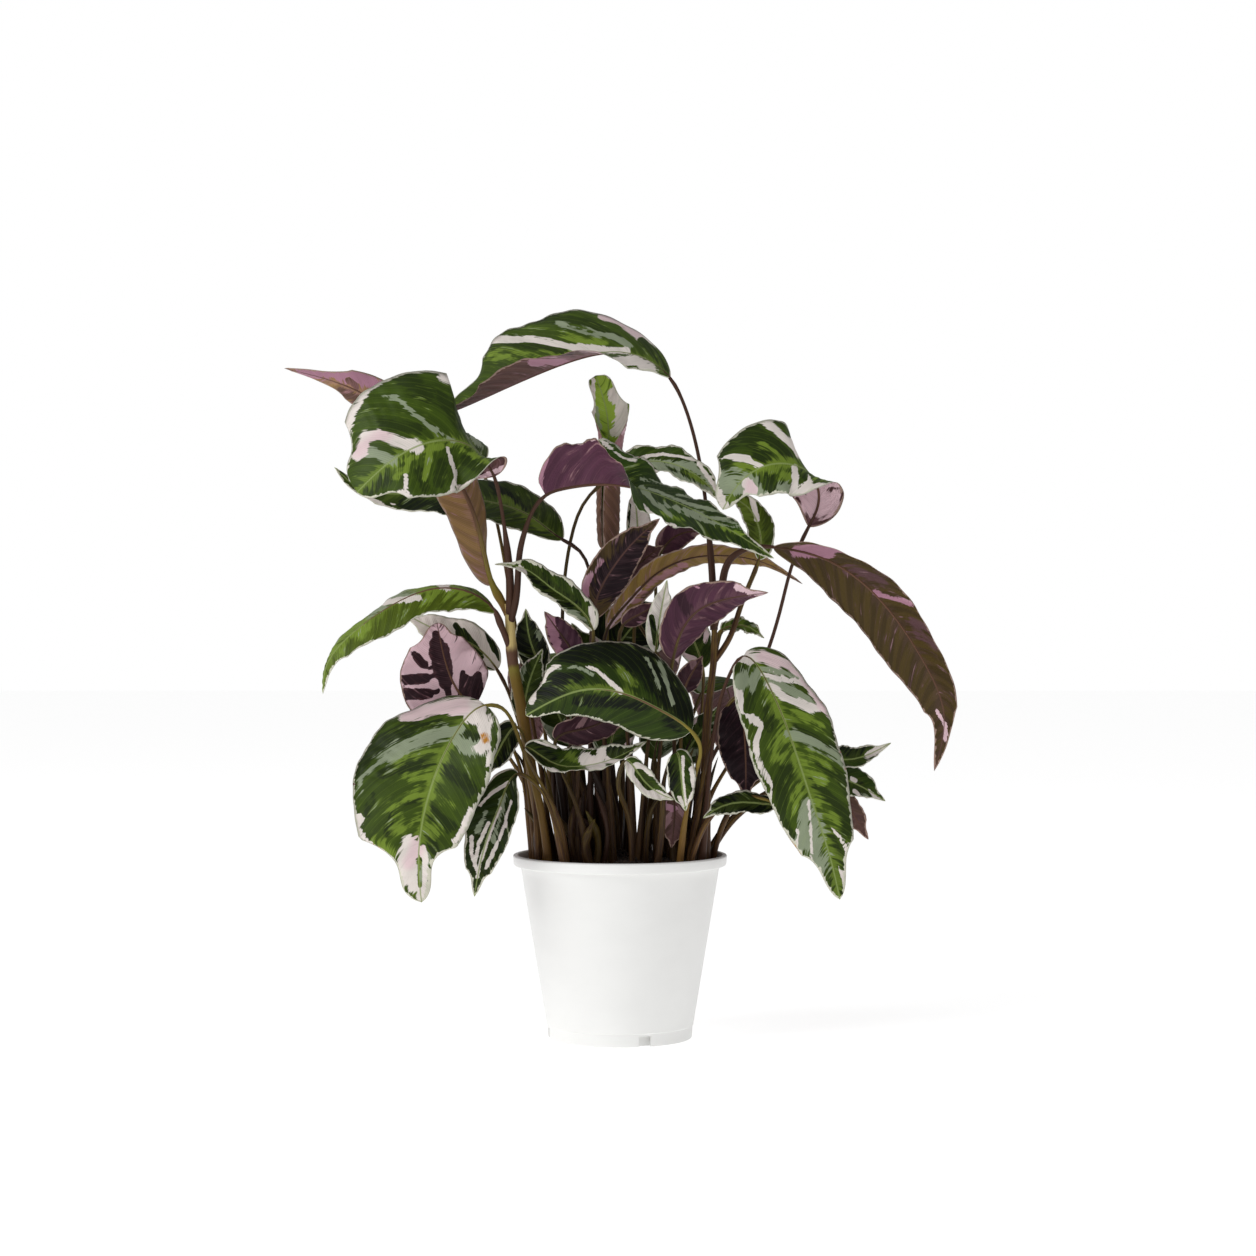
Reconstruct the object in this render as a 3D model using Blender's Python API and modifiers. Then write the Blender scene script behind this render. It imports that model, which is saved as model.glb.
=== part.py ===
# A prayer plant with white-splashed leaves, in its white nursery pot.
# Metres, +Z up, the pot's base centre at the origin, its front towards -Y.
import math

import bmesh
import bpy
import numpy as np

MM = 0.001

# The pot: a 15 cm nursery pot, turned about Z.
RIM_RADIUS = 75 * MM
RIM_TOP = 128 * MM
RIM_BAND = 7.5 * MM
NECK_RADIUS = 69.8 * MM
FOOT_RADIUS = 51.5 * MM
WALL = 1.6 * MM
FOOT_STEP = 9.5 * MM
FLOOR = 2 * MM
GROOVE_OUTER = 48.6 * MM
GROOVE_INNER = 44 * MM
GROOVE_TOP = 8 * MM
POT_SIDES = 36
NOTCH_ANGLES = (20, 110, 190, 280)
NOTCH_WIDTH = 9 * MM
DRAIN_RADIUS = 2.2 * MM

# The soil fills the pot and stands a little proud in the middle.
SEAT_GAP = 0.3 * MM
SOIL_EDGE = 121 * MM
SOIL_CROWN = 4 * MM
SOIL_LUMP = 1.2 * MM
SOIL_SIDES = 24
STEM_FOOT = 113 * MM
HOLE_GAP = 0.4 * MM

# The leaves are laid out as seen from the front, by an eye straight before the pot.
EYE_DISTANCE = 1900 * MM
EYE_HEIGHT = 300 * MM
EYE_ACROSS = 5.6 * MM

BLADE = 0.8 * MM
STALK_RADIUS = 1.6 * MM
TIP_RADIUS = 0.75 * MM
STALK_SPACING = 42 * MM
DRIP_TIP = 0.8
LARGE = (10, 6)
MIDDLE = (8, 4)
SMALL = (6, 4)
PLAIN = (6, 2)

# Distances are millimetres and angles are degrees.
# A place is (across, up, depth): across and up as the front view shows them, depth away from the viewer.
# A foot is (across, depth) at the soil. stalk ends where the blade begins and rib ends at its tip.
# faces are the directions that the upper face looks in, from the base to the tip.
# half, lift and curl are (left, right) of the midrib, seen from above with the tip ahead, and form is
# how fast each of the two margins leaves the base and comes in to the tip.


def leaf(stalk, rib, faces, half, foot=None, stem=None, lift=(8, 8), curl=(0, 0), wave=(1.5, 3, 0),
         form=(0.6, 0.95, 0.6, 0.95), cells=LARGE, radius=1.0, kind="green"):
    return {
        "stalk": stalk, "rib": rib, "faces": faces, "half": half, "foot": foot, "stem": stem, "lift": lift,
        "curl": curl, "wave": wave, "form": form, "cells": cells, "radius": radius, "kind": kind,
    }


STEMS = {
    "stem_left": {
        "foot": (-49, -10),
        "line": ((-58, 160, -12), (-64, 200, -13), (-70, 235, -14), (-75, 262, -14), (-77, 288, -13),
                 (-78, 303, -12)),
        "radii": (3.4, 3.3, 3.2, 3.4, 3.6, 2.8),
    },
    "stem_right": {
        "foot": (59, -8),
        "line": ((60, 170, -10), (61, 220, -10), (65, 258, -10), (66, 285, -10), (65.5, 300, -9)),
        "radii": (3.2, 3.1, 2.8, 2.2, 1.7),
    },
}

LEAVES = {
    "leaf_crown": leaf(
        stem="stem_right",
        stalk=((65.8, 285, -10), (64.8, 318, -7), (62.4, 350, -3), (56, 401, 0), (50, 427, 2), (43, 447, 4)),
        rib=((35, 461, 6), (22, 472, 5), (0, 479, 2), (-28, 475, -2), (-55, 465, -4), (-82, 453, -3),
             (-106, 442, 3), (-121, 436, 9)),
        faces=((0.55, -0.35, 0.75), (0.1, -0.5, 0.86), (0, -0.5, 0.87), (-0.2, -0.5, 0.85)),
        half=(27, 52), lift=((0, 6, 44, 60, 54, 40), (14, 22, 26, 24)), curl=((-30, -8, -4), (-10, -16)),
        wave=(2, 3, 0.2), form=(0.62, 0.55, 0.75, 0.62)),
    "leaf_left_face": leaf(
        stem="stem_left",
        stalk=((-77, 296, -13), (-77, 318, -16), (-80, 350, -21), (-84, 376, -26)),
        rib=((-88, 392, -29), (-97, 407, -33), (-111, 416, -43), (-134, 416, -56), (-160, 403, -62),
             (-184, 381, -62)),
        faces=((0.2, 0.8, 0.4), (0, -0.5, 1), (-0.1, -0.95, 0.2), (-0.1, -0.95, 0.2), (-0.1, -0.95, 0.2),
               (-0.2, -0.95, 0.3), (-0.5, -0.85, 0.1)),
        half=(40, 61), lift=(8, -4), curl=(-10, -20), wave=(2, 3, 0), form=(0.6, 0.6, 0.66, 0.5)),
    "leaf_left_high": leaf(
        stem="stem_left",
        stalk=((-78, 296, -12), (-83, 305, -10)),
        rib=((-89, 316, -10), (-98, 350, -13), (-115, 392, -8), (-150, 430, 4), (-190, 455, 14), (-235, 468, 18)),
        faces=((-0.8, 0.6, 0), (-0.4, 0.9, -0.2), (0, 0.9, 0.1), (0, 0.9, 0.4), (0, 0.3, 1)),
        half=(20, 20), lift=((35, 30, 10, 5), (30, 25, 10, 5)), curl=(10, 10), form=(0.5, 0.75, 0.5, 0.75)),
    "leaf_left_arch": leaf(
        stem="stem_left",
        stalk=((-76, 270, -14), (-80, 280, -16), (-84, 290, -19)),
        rib=((-87, 297, -22), (-100, 309, -27), (-128, 314, -34), (-160, 302, -44), (-190, 280, -52),
             (-206, 258, -56), (-208, 240, -56)),
        faces=((0.5, -0.3, 0.8), (0, -0.2, 1), (-0.7, -0.4, 0.6), (-0.9, -0.4, 0)),
        half=(22, 24), lift=(-25, 0), curl=(-15, -15)),
    "leaf_centre_drape": leaf(
        stem="stem_left",
        stalk=((-77, 290, -13), (-73, 305, -18), (-70, 340, -24), (-66, 356, -27), (-60, 370, -30)),
        rib=((-52, 379, -32), (-34, 385, -33), (-10, 387, -36), (12, 384, -41), (40, 374, -46), (75, 356, -49),
             (108, 335, -47)),
        faces=((0, -0.35, 0.93), (0, -0.35, 0.93), (0, -0.4, 0.9), (0.1, -0.6, 0.8), (0.2, -0.85, 0.4)),
        half=(30, 34), lift=((58, 66, 64, 52, 30, 4, -6, -4, 0, 4, 6, 8, 8),
                             (98, 104, 98, 68, 50, 8, -4, -2, 0, 3, 5, 7, 8)),
        wave=(3, 7, -0.38), form=(0.36, 1.15, 0.36, 0.85)),
    "leaf_scroll": leaf(
        foot=(-8, 26),
        stalk=((-9, 180, 28), (-9, 250, 28), (-9, 310, 28)),
        rib=((-9, 342, 28), (-9, 375, 28), (-8, 410, 27), (-9, 435, 26), (-17, 463, 24)),
        faces=((0, -1, 0), (0, -1, 0), (0.2, -1, 0)),
        half=(19, 31), lift=(0, 0), curl=((150, 150, 150, 150, 70, 40), (200, 200, 195, 160, 70, 30)),
        wave=(0, 1, 0), form=(0.12, 0.28, 0.12, 0.42), kind="scroll"),
    "leaf_centre_back": leaf(
        foot=(-26, 6),
        stalk=((-34, 200, 6), (-40, 270, 4), (-39, 318, 2), (-34, 350, 2), (-25, 374, 3)),
        rib=((-8, 391, 3), (8, 400, 2), (32, 402, -4), (56, 391, -8), (74, 371, -12)),
        faces=((-0.2, -0.8, 0.6), (0, -0.8, 0.6), (0.2, -0.9, 0.3)),
        half=(14, 15), lift=(10, 20), wave=(2.5, 4, 0.3)),
    "leaf_left_mid": leaf(
        foot=(-22, -14),
        stalk=((-21, 200, -12), (-20, 280, -10), (-21, 325, -9), (-29, 341, -7)),
        rib=((-40, 348, -4), (-62, 364, 10), (-100, 376, 30), (-150, 380, 40), (-182, 384, 42), (-200, 399, 40)),
        faces=((0, -0.5, 0.9), (0, -0.6, 0.8), (0.3, -0.7, 0.7)),
        half=(22, 24), lift=(-6, 8), wave=(1.5, 4, 0)),
    "leaf_right_face": leaf(
        foot=(52, 8),
        stalk=((62, 190, 4), (85, 230, 0), (103, 269, -4), (113, 302, -6), (121, 332, -7)),
        rib=((132, 357, -8), (139, 374, -10), (137, 389, -15), (125, 399, -24), (103, 400, -33), (84, 388, -36),
             (72, 369, -34)),
        faces=((0.3, 0.9, 0), (0.3, 0.2, 1), (0, -0.9, 0.4), (-0.1, -0.9, 0.3), (-0.3, -0.9, 0.1)),
        half=(25, 34), lift=(5, 5), curl=(-12, -12), wave=(2, 3, 0.5), form=(0.7, 0.8, 0.8, 0.7)),
    "leaf_right_back": leaf(
        stem="stem_right",
        stalk=((65, 262, -10), (77, 280, -4), (84, 300, 0), (91, 318, 4)),
        rib=((97, 334, 7), (98, 352, 12), (90, 370, 16), (73, 380, 18)),
        faces=((0.4, -0.9, 0), (0, -0.9, 0.4)),
        half=(10, 11), cells=SMALL, radius=0.7),
    "leaf_right_arch": leaf(
        stem="stem_right",
        stalk=((65.5, 288, -10), (71, 312, -14), (77, 334, -17), (90, 342, -19)),
        rib=((107, 343, -20), (128, 340, -23), (155, 329, -28), (185, 303, -34), (212, 264, -42), (227, 225, -46),
             (220, 186, -46)),
        faces=((0.2, 0.5, 0.8), (0.4, 0.8, 0.5), (0.6, 0.8, 0.2)),
        half=(26, 26), lift=(-10, -10), curl=(-15, -15)),
    "leaf_right_low": leaf(
        foot=(56, -24),
        stalk=((62, 180, -34), (68, 225, -44), (76, 252, -52)),
        rib=((86, 266, -58), (105, 244, -70), (121, 205, -80), (136, 160, -86), (147, 126, -88), (154, 96, -86)),
        faces=((0.2, -0.6, 0.8), (0.25, -0.95, 0.2), (0.1, -1, 0)),
        half=(32, 32), lift=(8, 8), curl=(-12, -12), wave=(2, 4, 0), form=(0.42, 0.75, 0.42, 0.75)),
    "leaf_left_low": leaf(
        foot=(-48, -28),
        stalk=((-58, 170, -32), (-72, 212, -38), (-84, 231, -43)),
        rib=((-94, 232, -48), (-114, 214, -62), (-129, 184, -74), (-138, 152, -80), (-141, 125, -82),
             (-139, 94, -80)),
        faces=((-0.3, -0.6, 0.75), (-0.2, -0.95, 0.25), (0, -1, 0)),
        half=(38, 56), lift=(8, 8), curl=(-12, -16), wave=(2, 4, 0.2), form=(0.4, 0.75, 0.55, 0.78)),
    "leaf_centre": leaf(
        foot=(40, -38),
        stalk=((47, 160, -50), (54, 188, -60), (56, 204, -66)),
        rib=((50, 214, -70), (28, 229, -74), (4, 240, -74), (-25, 243, -72), (-48, 235, -70), (-66, 225, -68)),
        faces=((0.3, -0.8, 0.5), (0, -0.85, 0.5), (-0.3, -0.85, 0.4)),
        half=(24, 44), lift=(-35, 0), curl=(-20, -20), wave=(1.5, 3, 0), form=(0.4, 0.7, 0.6, 0.7)),
    "leaf_olive": leaf(
        foot=(-10, -4),
        stalk=((-11, 200, -4), (-12, 262, -4)),
        rib=((-9, 285, -3), (5, 304, -1), (25, 324, 3), (48, 335, 8), (75, 337, 13), (101, 332, 15),
             (128, 317, 15)),
        faces=((0, 0.8, 0.5), (0, 0.7, 0.7), (0.2, 0.7, 0.7)),
        half=(11, 11), lift=(5, 5), wave=(1, 4, 0), kind="olive"),
    "leaf_purple": leaf(
        foot=(26, -14),
        stalk=((28, 200, -24), (34, 245, -32)),
        rib=((37, 264, -35), (43, 284, -37), (54, 298, -39), (72, 306, -41), (104, 311, -42)),
        faces=((-0.5, 0.8, 0.1), (-0.3, 0.9, 0.3), (0, 0.6, 0.8)),
        half=(18, 18), lift=(12, 12), kind="purple"),
    "leaf_right_sliver": leaf(
        stem="stem_right",
        stalk=((64, 250, -10), (67, 270, -3)),
        rib=((71, 284, 2), (86, 288, 6), (101, 279, 8)),
        faces=((-0.3, -0.7, 0.6), (0, -0.7, 0.7)),
        half=(7, 7), cells=SMALL, radius=0.7),
    "leaf_cupped": leaf(
        foot=(-36, -34),
        stalk=((-46, 160, -42), (-62, 190, -47)),
        rib=((-66, 202, -49), (-50, 193, -51), (-30, 189, -52), (-6, 194, -52), (19, 207, -51)),
        faces=((0, -0.6, 0.8), (0, -0.5, 0.85), (0, -0.7, 0.7)),
        half=(16, 15), lift=(22, 22), wave=(1.5, 3, 0)),
    "leaf_front_curl": leaf(
        foot=(8, -36),
        stalk=((4, 160, -44), (-1, 182, -57)),
        rib=((4, 193, -62), (16, 180, -66), (38, 166, -66)),
        faces=((0.2, -0.8, 0.6), (0, -1, 0.2)),
        half=(8, 9), lift=(20, 20), cells=SMALL, radius=0.8),
    "leaf_front_tip": leaf(
        foot=(24, -42),
        stalk=((30, 160, -50), (33, 188, -56)),
        rib=((39, 199, -60), (43, 180, -63), (46, 158, -62)),
        faces=((0.2, -0.8, 0.5), (0, -1, 0)),
        half=(10, 10), lift=(10, 10), cells=SMALL, radius=0.8),
    "leaf_front_droop": leaf(
        foot=(18, -24),
        stalk=((20, 150, -30), (29, 168, -34)),
        rib=((34, 170, -36), (38, 152, -38), (36, 132, -38)),
        faces=((0, 0.7, 0.6), (0, 1, 0)),
        half=(9, 9), lift=(-5, -5), cells=SMALL, radius=0.8, kind="purple"),
    "leaf_left_turned": leaf(
        foot=(-60, 4),
        stalk=((-66, 170, 2), (-84, 215, -4)),
        rib=((-103, 230, -8), (-114, 243, -8), (-122, 262, -5), (-128, 290, 0)),
        faces=((0, 0.7, -0.6), (0, 1, 0.1), (0, 0.9, 0.2)),
        half=(26, 36), lift=(-5, -5), wave=(3, 3, 0), form=(0.4, 0.7, 0.4, 0.7), kind="purple"),
    "leaf_left_blotched": leaf(
        foot=(-52, 18),
        stalk=((-60, 170, 18), (-74, 230, 12)),
        rib=((-86, 257, 8), (-104, 275, 8), (-126, 284, 8), (-152, 297, 8)),
        faces=((0.3, -0.9, 0.2), (0, -0.9, 0.4)),
        half=(15, 14), lift=(10, 10), wave=(2, 3, 0), cells=SMALL),
    "leaf_left_small": leaf(
        foot=(-36, -50),
        stalk=((-46, 150, -50), (-60, 178, -46)),
        rib=((-71, 184, -44), (-83, 165, -45), (-91, 145, -46), (-97, 125, -46), (-102, 98, -44)),
        faces=((-0.3, -0.6, 0.8), (-0.2, -1, 0.2), (0, -1, 0)),
        half=(17, 17), lift=(12, 12), wave=(1.5, 3, 0)),
    "leaf_left_shade": leaf(
        foot=(-56, -20),
        stalk=((-61, 180, -22), (-66, 205, -24)),
        rib=((-72, 217, -26), (-82, 206, -30), (-92, 184, -30)),
        faces=((0, -0.8, 0.6), (-0.2, -1, 0)),
        half=(11, 11), cells=SMALL, radius=0.8),
    "leaf_far_right_high": leaf(
        foot=(63, 4),
        stalk=((78, 160, -6), (106, 185, -18)),
        rib=((132, 196, -26), (160, 194, -30), (190, 206, -30)),
        faces=((0, -0.8, 0.6), (0, -0.8, 0.6)),
        half=(10, 9), lift=(15, 15), cells=SMALL, radius=0.8),
    "leaf_far_right_low": leaf(
        foot=(57, 16),
        stalk=((80, 152, 8), (106, 172, -2)),
        rib=((130, 184, -10), (158, 180, -14), (186, 165, -16)),
        faces=((0, -0.8, 0.6), (0.2, -0.8, 0.5)),
        half=(14, 13), lift=(10, 10), cells=SMALL, radius=0.8),
    "leaf_far_right_under": leaf(
        foot=(56, 30),
        stalk=((76, 150, 24), (108, 174, 16)),
        rib=((132, 182, 10), (154, 168, 6), (174, 138, 4)),
        faces=((0.3, 0.6, 0.7), (0.4, 0.9, 0)),
        half=(13, 12), lift=(-8, -8), cells=SMALL, radius=0.8, kind="purple"),
    "leaf_right_shade": leaf(
        foot=(46, -12),
        stalk=((58, 180, -22), (72, 226, -28)),
        rib=((82, 238, -30), (87, 216, -33), (88, 192, -34), (88, 166, -32)),
        faces=((0, 0.8, 0.6), (0, 1, 0.1), (0, 1, 0)),
        half=(19, 19), lift=(-6, -6), kind="purple"),
    "leaf_right_front": leaf(
        foot=(46, -34),
        stalk=((62, 152, -40), (94, 168, -44)),
        rib=((108, 163, -46), (86, 164, -48), (58, 153, -50)),
        faces=((0, -0.7, 0.7), (0, -0.9, 0.4)),
        half=(9, 9), lift=(5, 5), cells=SMALL, radius=0.8),
    "leaf_pale_curl": leaf(
        foot=(-30, -24),
        stalk=((-29, 200, -25), (-22, 262, -28)),
        rib=((-19, 284, -34), (-30, 301, -35), (-48, 314, -36), (-66, 327, -36), (-88, 331, -36)),
        faces=((0.3, -0.8, 0.4), (0, -0.8, 0.6), (0, -0.6, 0.8)),
        half=(12, 12), lift=(20, 20), wave=(2, 3, 0), cells=SMALL, kind="pale"),
    "leaf_pink_back": leaf(
        foot=(-34, 16),
        stalk=((-33, 180, 12), (-31, 240, 4)),
        rib=((-30, 262, 0), (-40, 280, -2), (-53, 298, -2)),
        faces=((0.2, 0.9, 0), (0, 1, 0)),
        half=(11, 11), lift=(-8, -8), cells=SMALL, kind="purple"),
    "leaf_dark_back": leaf(
        foot=(-40, 28),
        stalk=((-48, 180, 28), (-54, 236, 24)),
        rib=((-55, 254, 22), (-63, 278, 20), (-66, 300, 20)),
        faces=((0, -1, 0), (0, -1, 0)),
        half=(12, 11), cells=SMALL),
    "leaf_dark_spear": leaf(
        foot=(-4, -20),
        stalk=((-10, 200, -20), (-18, 272, -16)),
        rib=((-19, 292, -15), (-16, 308, -15), (-6, 327, -16), (9, 346, -18), (28, 363, -20)),
        faces=((0.4, -0.9, 0), (0.3, -0.9, 0.1), (0.4, -0.8, 0.1)),
        half=(17, 15), lift=(8, 8), curl=(15, 0), wave=(1, 3, 0)),
    "leaf_white_spear": leaf(
        foot=(8, 26),
        stalk=((8, 220, 31), (11, 310, 26)),
        rib=((12, 338, 24), (12, 362, 26), (9, 386, 27)),
        faces=((0, -1, 0), (0, -1, 0)),
        half=(8, 10), lift=(10, 10), cells=SMALL, kind="pale"),
    "leaf_violet_back": leaf(
        foot=(17, 40),
        stalk=((20, 220, 37), (25, 312, 32)),
        rib=((28, 338, 30), (42, 352, 32), (60, 354, 32)),
        faces=((0, 1, 0), (0, 1, 0)),
        half=(10, 10), lift=(-5, -5), cells=SMALL, kind="purple"),
    "leaf_white_centre": leaf(
        foot=(12, -22),
        stalk=((18, 190, -28), (24, 250, -27)),
        rib=((25, 269, -27), (28, 294, -27), (33, 320, -26)),
        faces=((0, -1, 0), (0, -1, 0.2)),
        half=(9, 9), cells=SMALL, kind="pale"),
    "leaf_rolled_dark": leaf(
        foot=(10, -10),
        stalk=((6, 200, -16), (0, 268, -17)),
        rib=((2, 288, -17), (14, 296, -16), (28, 304, -14)),
        faces=((0, 1, 0), (0, 1, 0)),
        half=(8, 8), lift=(30, 30), cells=SMALL, kind="purple"),
    "leaf_brown_back": leaf(
        foot=(34, 4),
        stalk=((38, 200, 1), (29, 262, 8), (7, 300, 17)),
        rib=((3, 316, 19), (14, 332, 20), (31, 344, 20)),
        faces=((0.3, 0.9, 0), (0, 1, 0)),
        half=(11, 11), lift=(-5, -5), cells=SMALL, kind="purple"),
    "leaf_knot": leaf(
        foot=(38, 16),
        stalk=((42, 190, 10), (43, 228, 4)),
        rib=((44, 240, 2), (50, 254, 1), (58, 267, 1)),
        faces=((0, 1, 0.1), (0, 1, 0)),
        half=(9, 9), lift=(20, 20), cells=SMALL, kind="purple"),
    "leaf_under_hero": leaf(
        foot=(-20, -36),
        stalk=((-30, 160, -36), (-44, 196, -34)),
        rib=((-45, 208, -33), (-25, 216, -34), (-5, 224, -34), (14, 232, -33)),
        faces=((0, 0.8, 0.6), (0, 0.9, 0.4)),
        half=(13, 13), lift=(-5, -5), cells=SMALL, kind="purple"),
    "leaf_dark_centre": leaf(
        foot=(-14, 30),
        stalk=((-14, 200, 34), (-12, 240, 36)),
        rib=((-10, 256, 38), (0, 276, 42), (14, 292, 44), (32, 304, 44)),
        faces=((0.2, -0.9, 0.2), (0, -0.9, 0.4)),
        half=(24, 24), lift=(5, 5)),
    "leaf_rear_left": leaf(
        foot=(-26, 42),
        stalk=((-32, 190, 50), (-36, 236, 60)),
        rib=((-38, 256, 70), (-44, 268, 88), (-50, 264, 112), (-56, 240, 140), (-60, 204, 158)),
        faces=((0, 0, 1), (-0.2, 0.3, 0.9), (-0.3, 0.9, 0.3)),
        half=(32, 32), lift=(-5, -5), curl=(-12, -12), cells=MIDDLE),
    "leaf_rear_centre": leaf(
        foot=(4, 48),
        stalk=((6, 200, 54), (9, 250, 62)),
        rib=((11, 272, 70), (14, 286, 88), (16, 282, 114), (18, 256, 142), (20, 216, 160)),
        faces=((0, -0.3, 1), (0, 0.3, 0.9), (0, 0.9, 0.3)),
        half=(30, 30), lift=(-5, -5), curl=(-12, -12), cells=MIDDLE),
    "leaf_rear_right": leaf(
        foot=(30, 42),
        stalk=((40, 180, 50), (50, 222, 58)),
        rib=((57, 240, 66), (66, 252, 84), (74, 246, 108), (80, 220, 130), (84, 182, 144)),
        faces=((0, 0, 1), (0.2, 0.3, 0.9), (0.3, 0.9, 0.3)),
        half=(30, 30), lift=(-5, -5), curl=(-12, -12), cells=MIDDLE),
    "leaf_rear_low_left": leaf(
        foot=(-44, 40),
        stalk=((-62, 170, 44), (-88, 210, 54)),
        rib=((-102, 224, 62), (-122, 222, 76), (-138, 204, 88), (-150, 176, 96), (-156, 142, 98)),
        faces=((-0.3, 0, 1), (-0.5, 0.6, 0.7), (-0.4, 0.9, 0.2)),
        half=(28, 28), lift=(-5, -5), curl=(-12, -12), cells=MIDDLE),
    "leaf_rear_low_right": leaf(
        foot=(46, 40),
        stalk=((64, 170, 40), (92, 218, 46)),
        rib=((104, 236, 54), (120, 232, 68), (132, 208, 80), (140, 176, 88), (144, 138, 90)),
        faces=((0.3, 0, 1), (0.5, 0.6, 0.7), (0.4, 0.9, 0.2)),
        half=(26, 26), lift=(-5, -5), curl=(-12, -12), cells=MIDDLE),
    "leaf_rear_high_left": leaf(
        foot=(-46, 8),
        stalk=((-56, 190, 12), (-72, 280, 30), (-84, 350, 54), (-92, 384, 66)),
        rib=((-98, 402, 72), (-112, 424, 82), (-132, 428, 98), (-148, 412, 112), (-156, 384, 120)),
        faces=((0, -0.2, 1), (-0.3, 0.4, 0.9), (-0.5, 0.8, 0.2)),
        half=(28, 28), lift=(-5, -5), curl=(-12, -12), cells=MIDDLE),
}

# Short leaves in the shade of the crown, as (foot, base, tip, half width).
SHADE_LEAVES = (
    ((-28, 22), (-34, 203, 20), (-48, 252, 14), 14),
    ((-2, 20), (-8, 194, 16), (10, 250, 12), 16),
    ((20, 28), (24, 194, 20), (44, 248, 12), 15),
    ((-2, 36), (4, 240, 18), (-34, 290, 17), 15),
    ((34, 30), (44, 188, 22), (70, 232, 14), 12),
    ((50, 28), (58, 258, 34), (46, 312, 32), 13),
    ((-58, -2), (-68, 222, 2), (-54, 272, 6), 11),
)

for number, (foot, base, tip, half) in enumerate(SHADE_LEAVES, 1):
    middle = tuple((a + b) / 2 for a, b in zip(base, tip))
    LEAVES[f"leaf_shade_{number}"] = leaf(
        foot=foot,
        stalk=((0.5 * (foot[0] + base[0]), 165, 0.5 * (foot[1] + base[2])), (base[0], base[1] - 16, base[2])),
        rib=(base, (middle[0] - 3, middle[1], middle[2]), tip),
        faces=((0, -0.9, 0.2), (0, -0.9, 0.4)),
        half=(half, half), lift=(12, 12), cells=PLAIN, radius=0.9, kind="purple" if number % 2 else "green")

COLOURS = {
    "green": (0.08, 0.20, 0.04),
    "pale": (0.55, 0.60, 0.48),
    "olive": (0.22, 0.24, 0.08),
    "purple": (0.16, 0.05, 0.09),
    "scroll": (0.35, 0.24, 0.14),
    "stem": (0.20, 0.15, 0.07),
}


def finish(name, colour, roughness=0.5):
    material = bpy.data.materials.new(name)
    material.use_nodes = True
    shader = material.node_tree.nodes["Principled BSDF"]
    shader.inputs["Base Color"].default_value = (*colour, 1)
    shader.inputs["Roughness"].default_value = roughness
    return material


def add_object(name, mesh, collection):
    made = bpy.data.objects.new(name, mesh)
    collection.objects.link(made)
    return made


def at(place):
    """The world place of (across, up, depth) as the front view shows it."""
    across, up, depth = (value * MM for value in place)
    grow = 1 + depth / EYE_DISTANCE
    return np.array((EYE_ACROSS + (across - EYE_ACROSS) * grow, depth, EYE_HEIGHT + (up - EYE_HEIGHT) * grow))


def unit(vectors):
    return vectors / np.linalg.norm(vectors, axis=-1, keepdims=True)


def smooth_line(points):
    """A natural cubic spline: the distance of each point along it, and a function from distance to place."""
    points = np.array(points)
    knots = np.concatenate(([0], np.cumsum(np.linalg.norm(np.diff(points, axis=0), axis=1))))
    gaps = np.diff(knots)
    last = len(points) - 1
    system = np.eye(last + 1)
    turn = np.zeros_like(points)
    for i in range(1, last):
        system[i, i - 1:i + 2] = gaps[i - 1], 2 * (gaps[i - 1] + gaps[i]), gaps[i]
        turn[i] = 6 * ((points[i + 1] - points[i]) / gaps[i] - (points[i] - points[i - 1]) / gaps[i - 1])
    bend = np.linalg.solve(system, turn)

    def place(distance):
        distance = np.atleast_1d(distance)
        i = np.clip(np.searchsorted(knots, distance, side="right") - 1, 0, last - 1)
        gap = gaps[i][:, None]
        before = (knots[i + 1] - distance)[:, None]
        after = (distance - knots[i])[:, None]
        cubic = (bend[i] * before ** 3 + bend[i + 1] * after ** 3) / (6 * gap)
        return (cubic + (points[i] / gap - bend[i] * gap / 6) * before
                + (points[i + 1] / gap - bend[i + 1] * gap / 6) * after)

    return knots, place


def leaf_line(spec):
    """The spline from the foot of the stalk to the tip of the blade, and the distances of its base and tip."""
    points = [at(place) for place in (*spec["stalk"], *spec["rib"])]
    if spec["foot"]:
        x, y = spec["foot"]
        points.insert(0, np.array((x * MM, y * MM, STEM_FOOT)))
    knots, place = smooth_line(points)
    return place, knots[-len(spec["rib"])], knots[-1]


def spread(values, t):
    """A value, or a few from base to tip, at each t."""
    values = np.atleast_1d(values)
    return np.interp(t, np.linspace(0, 1, len(values)), values)


def blade_profile(t, rise, fall):
    """Half width along the blade, 1 at its widest, with the margins drawn in to a drip tip."""
    widest = rise / (rise + fall)
    shape = t ** rise * (1 - t) ** fall / (widest ** rise * (1 - widest) ** fall)
    tip = np.clip((t - DRIP_TIP) / (1 - DRIP_TIP), 0, 1)
    return shape * (1 - 0.3 * np.sin(math.pi * tip))


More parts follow.
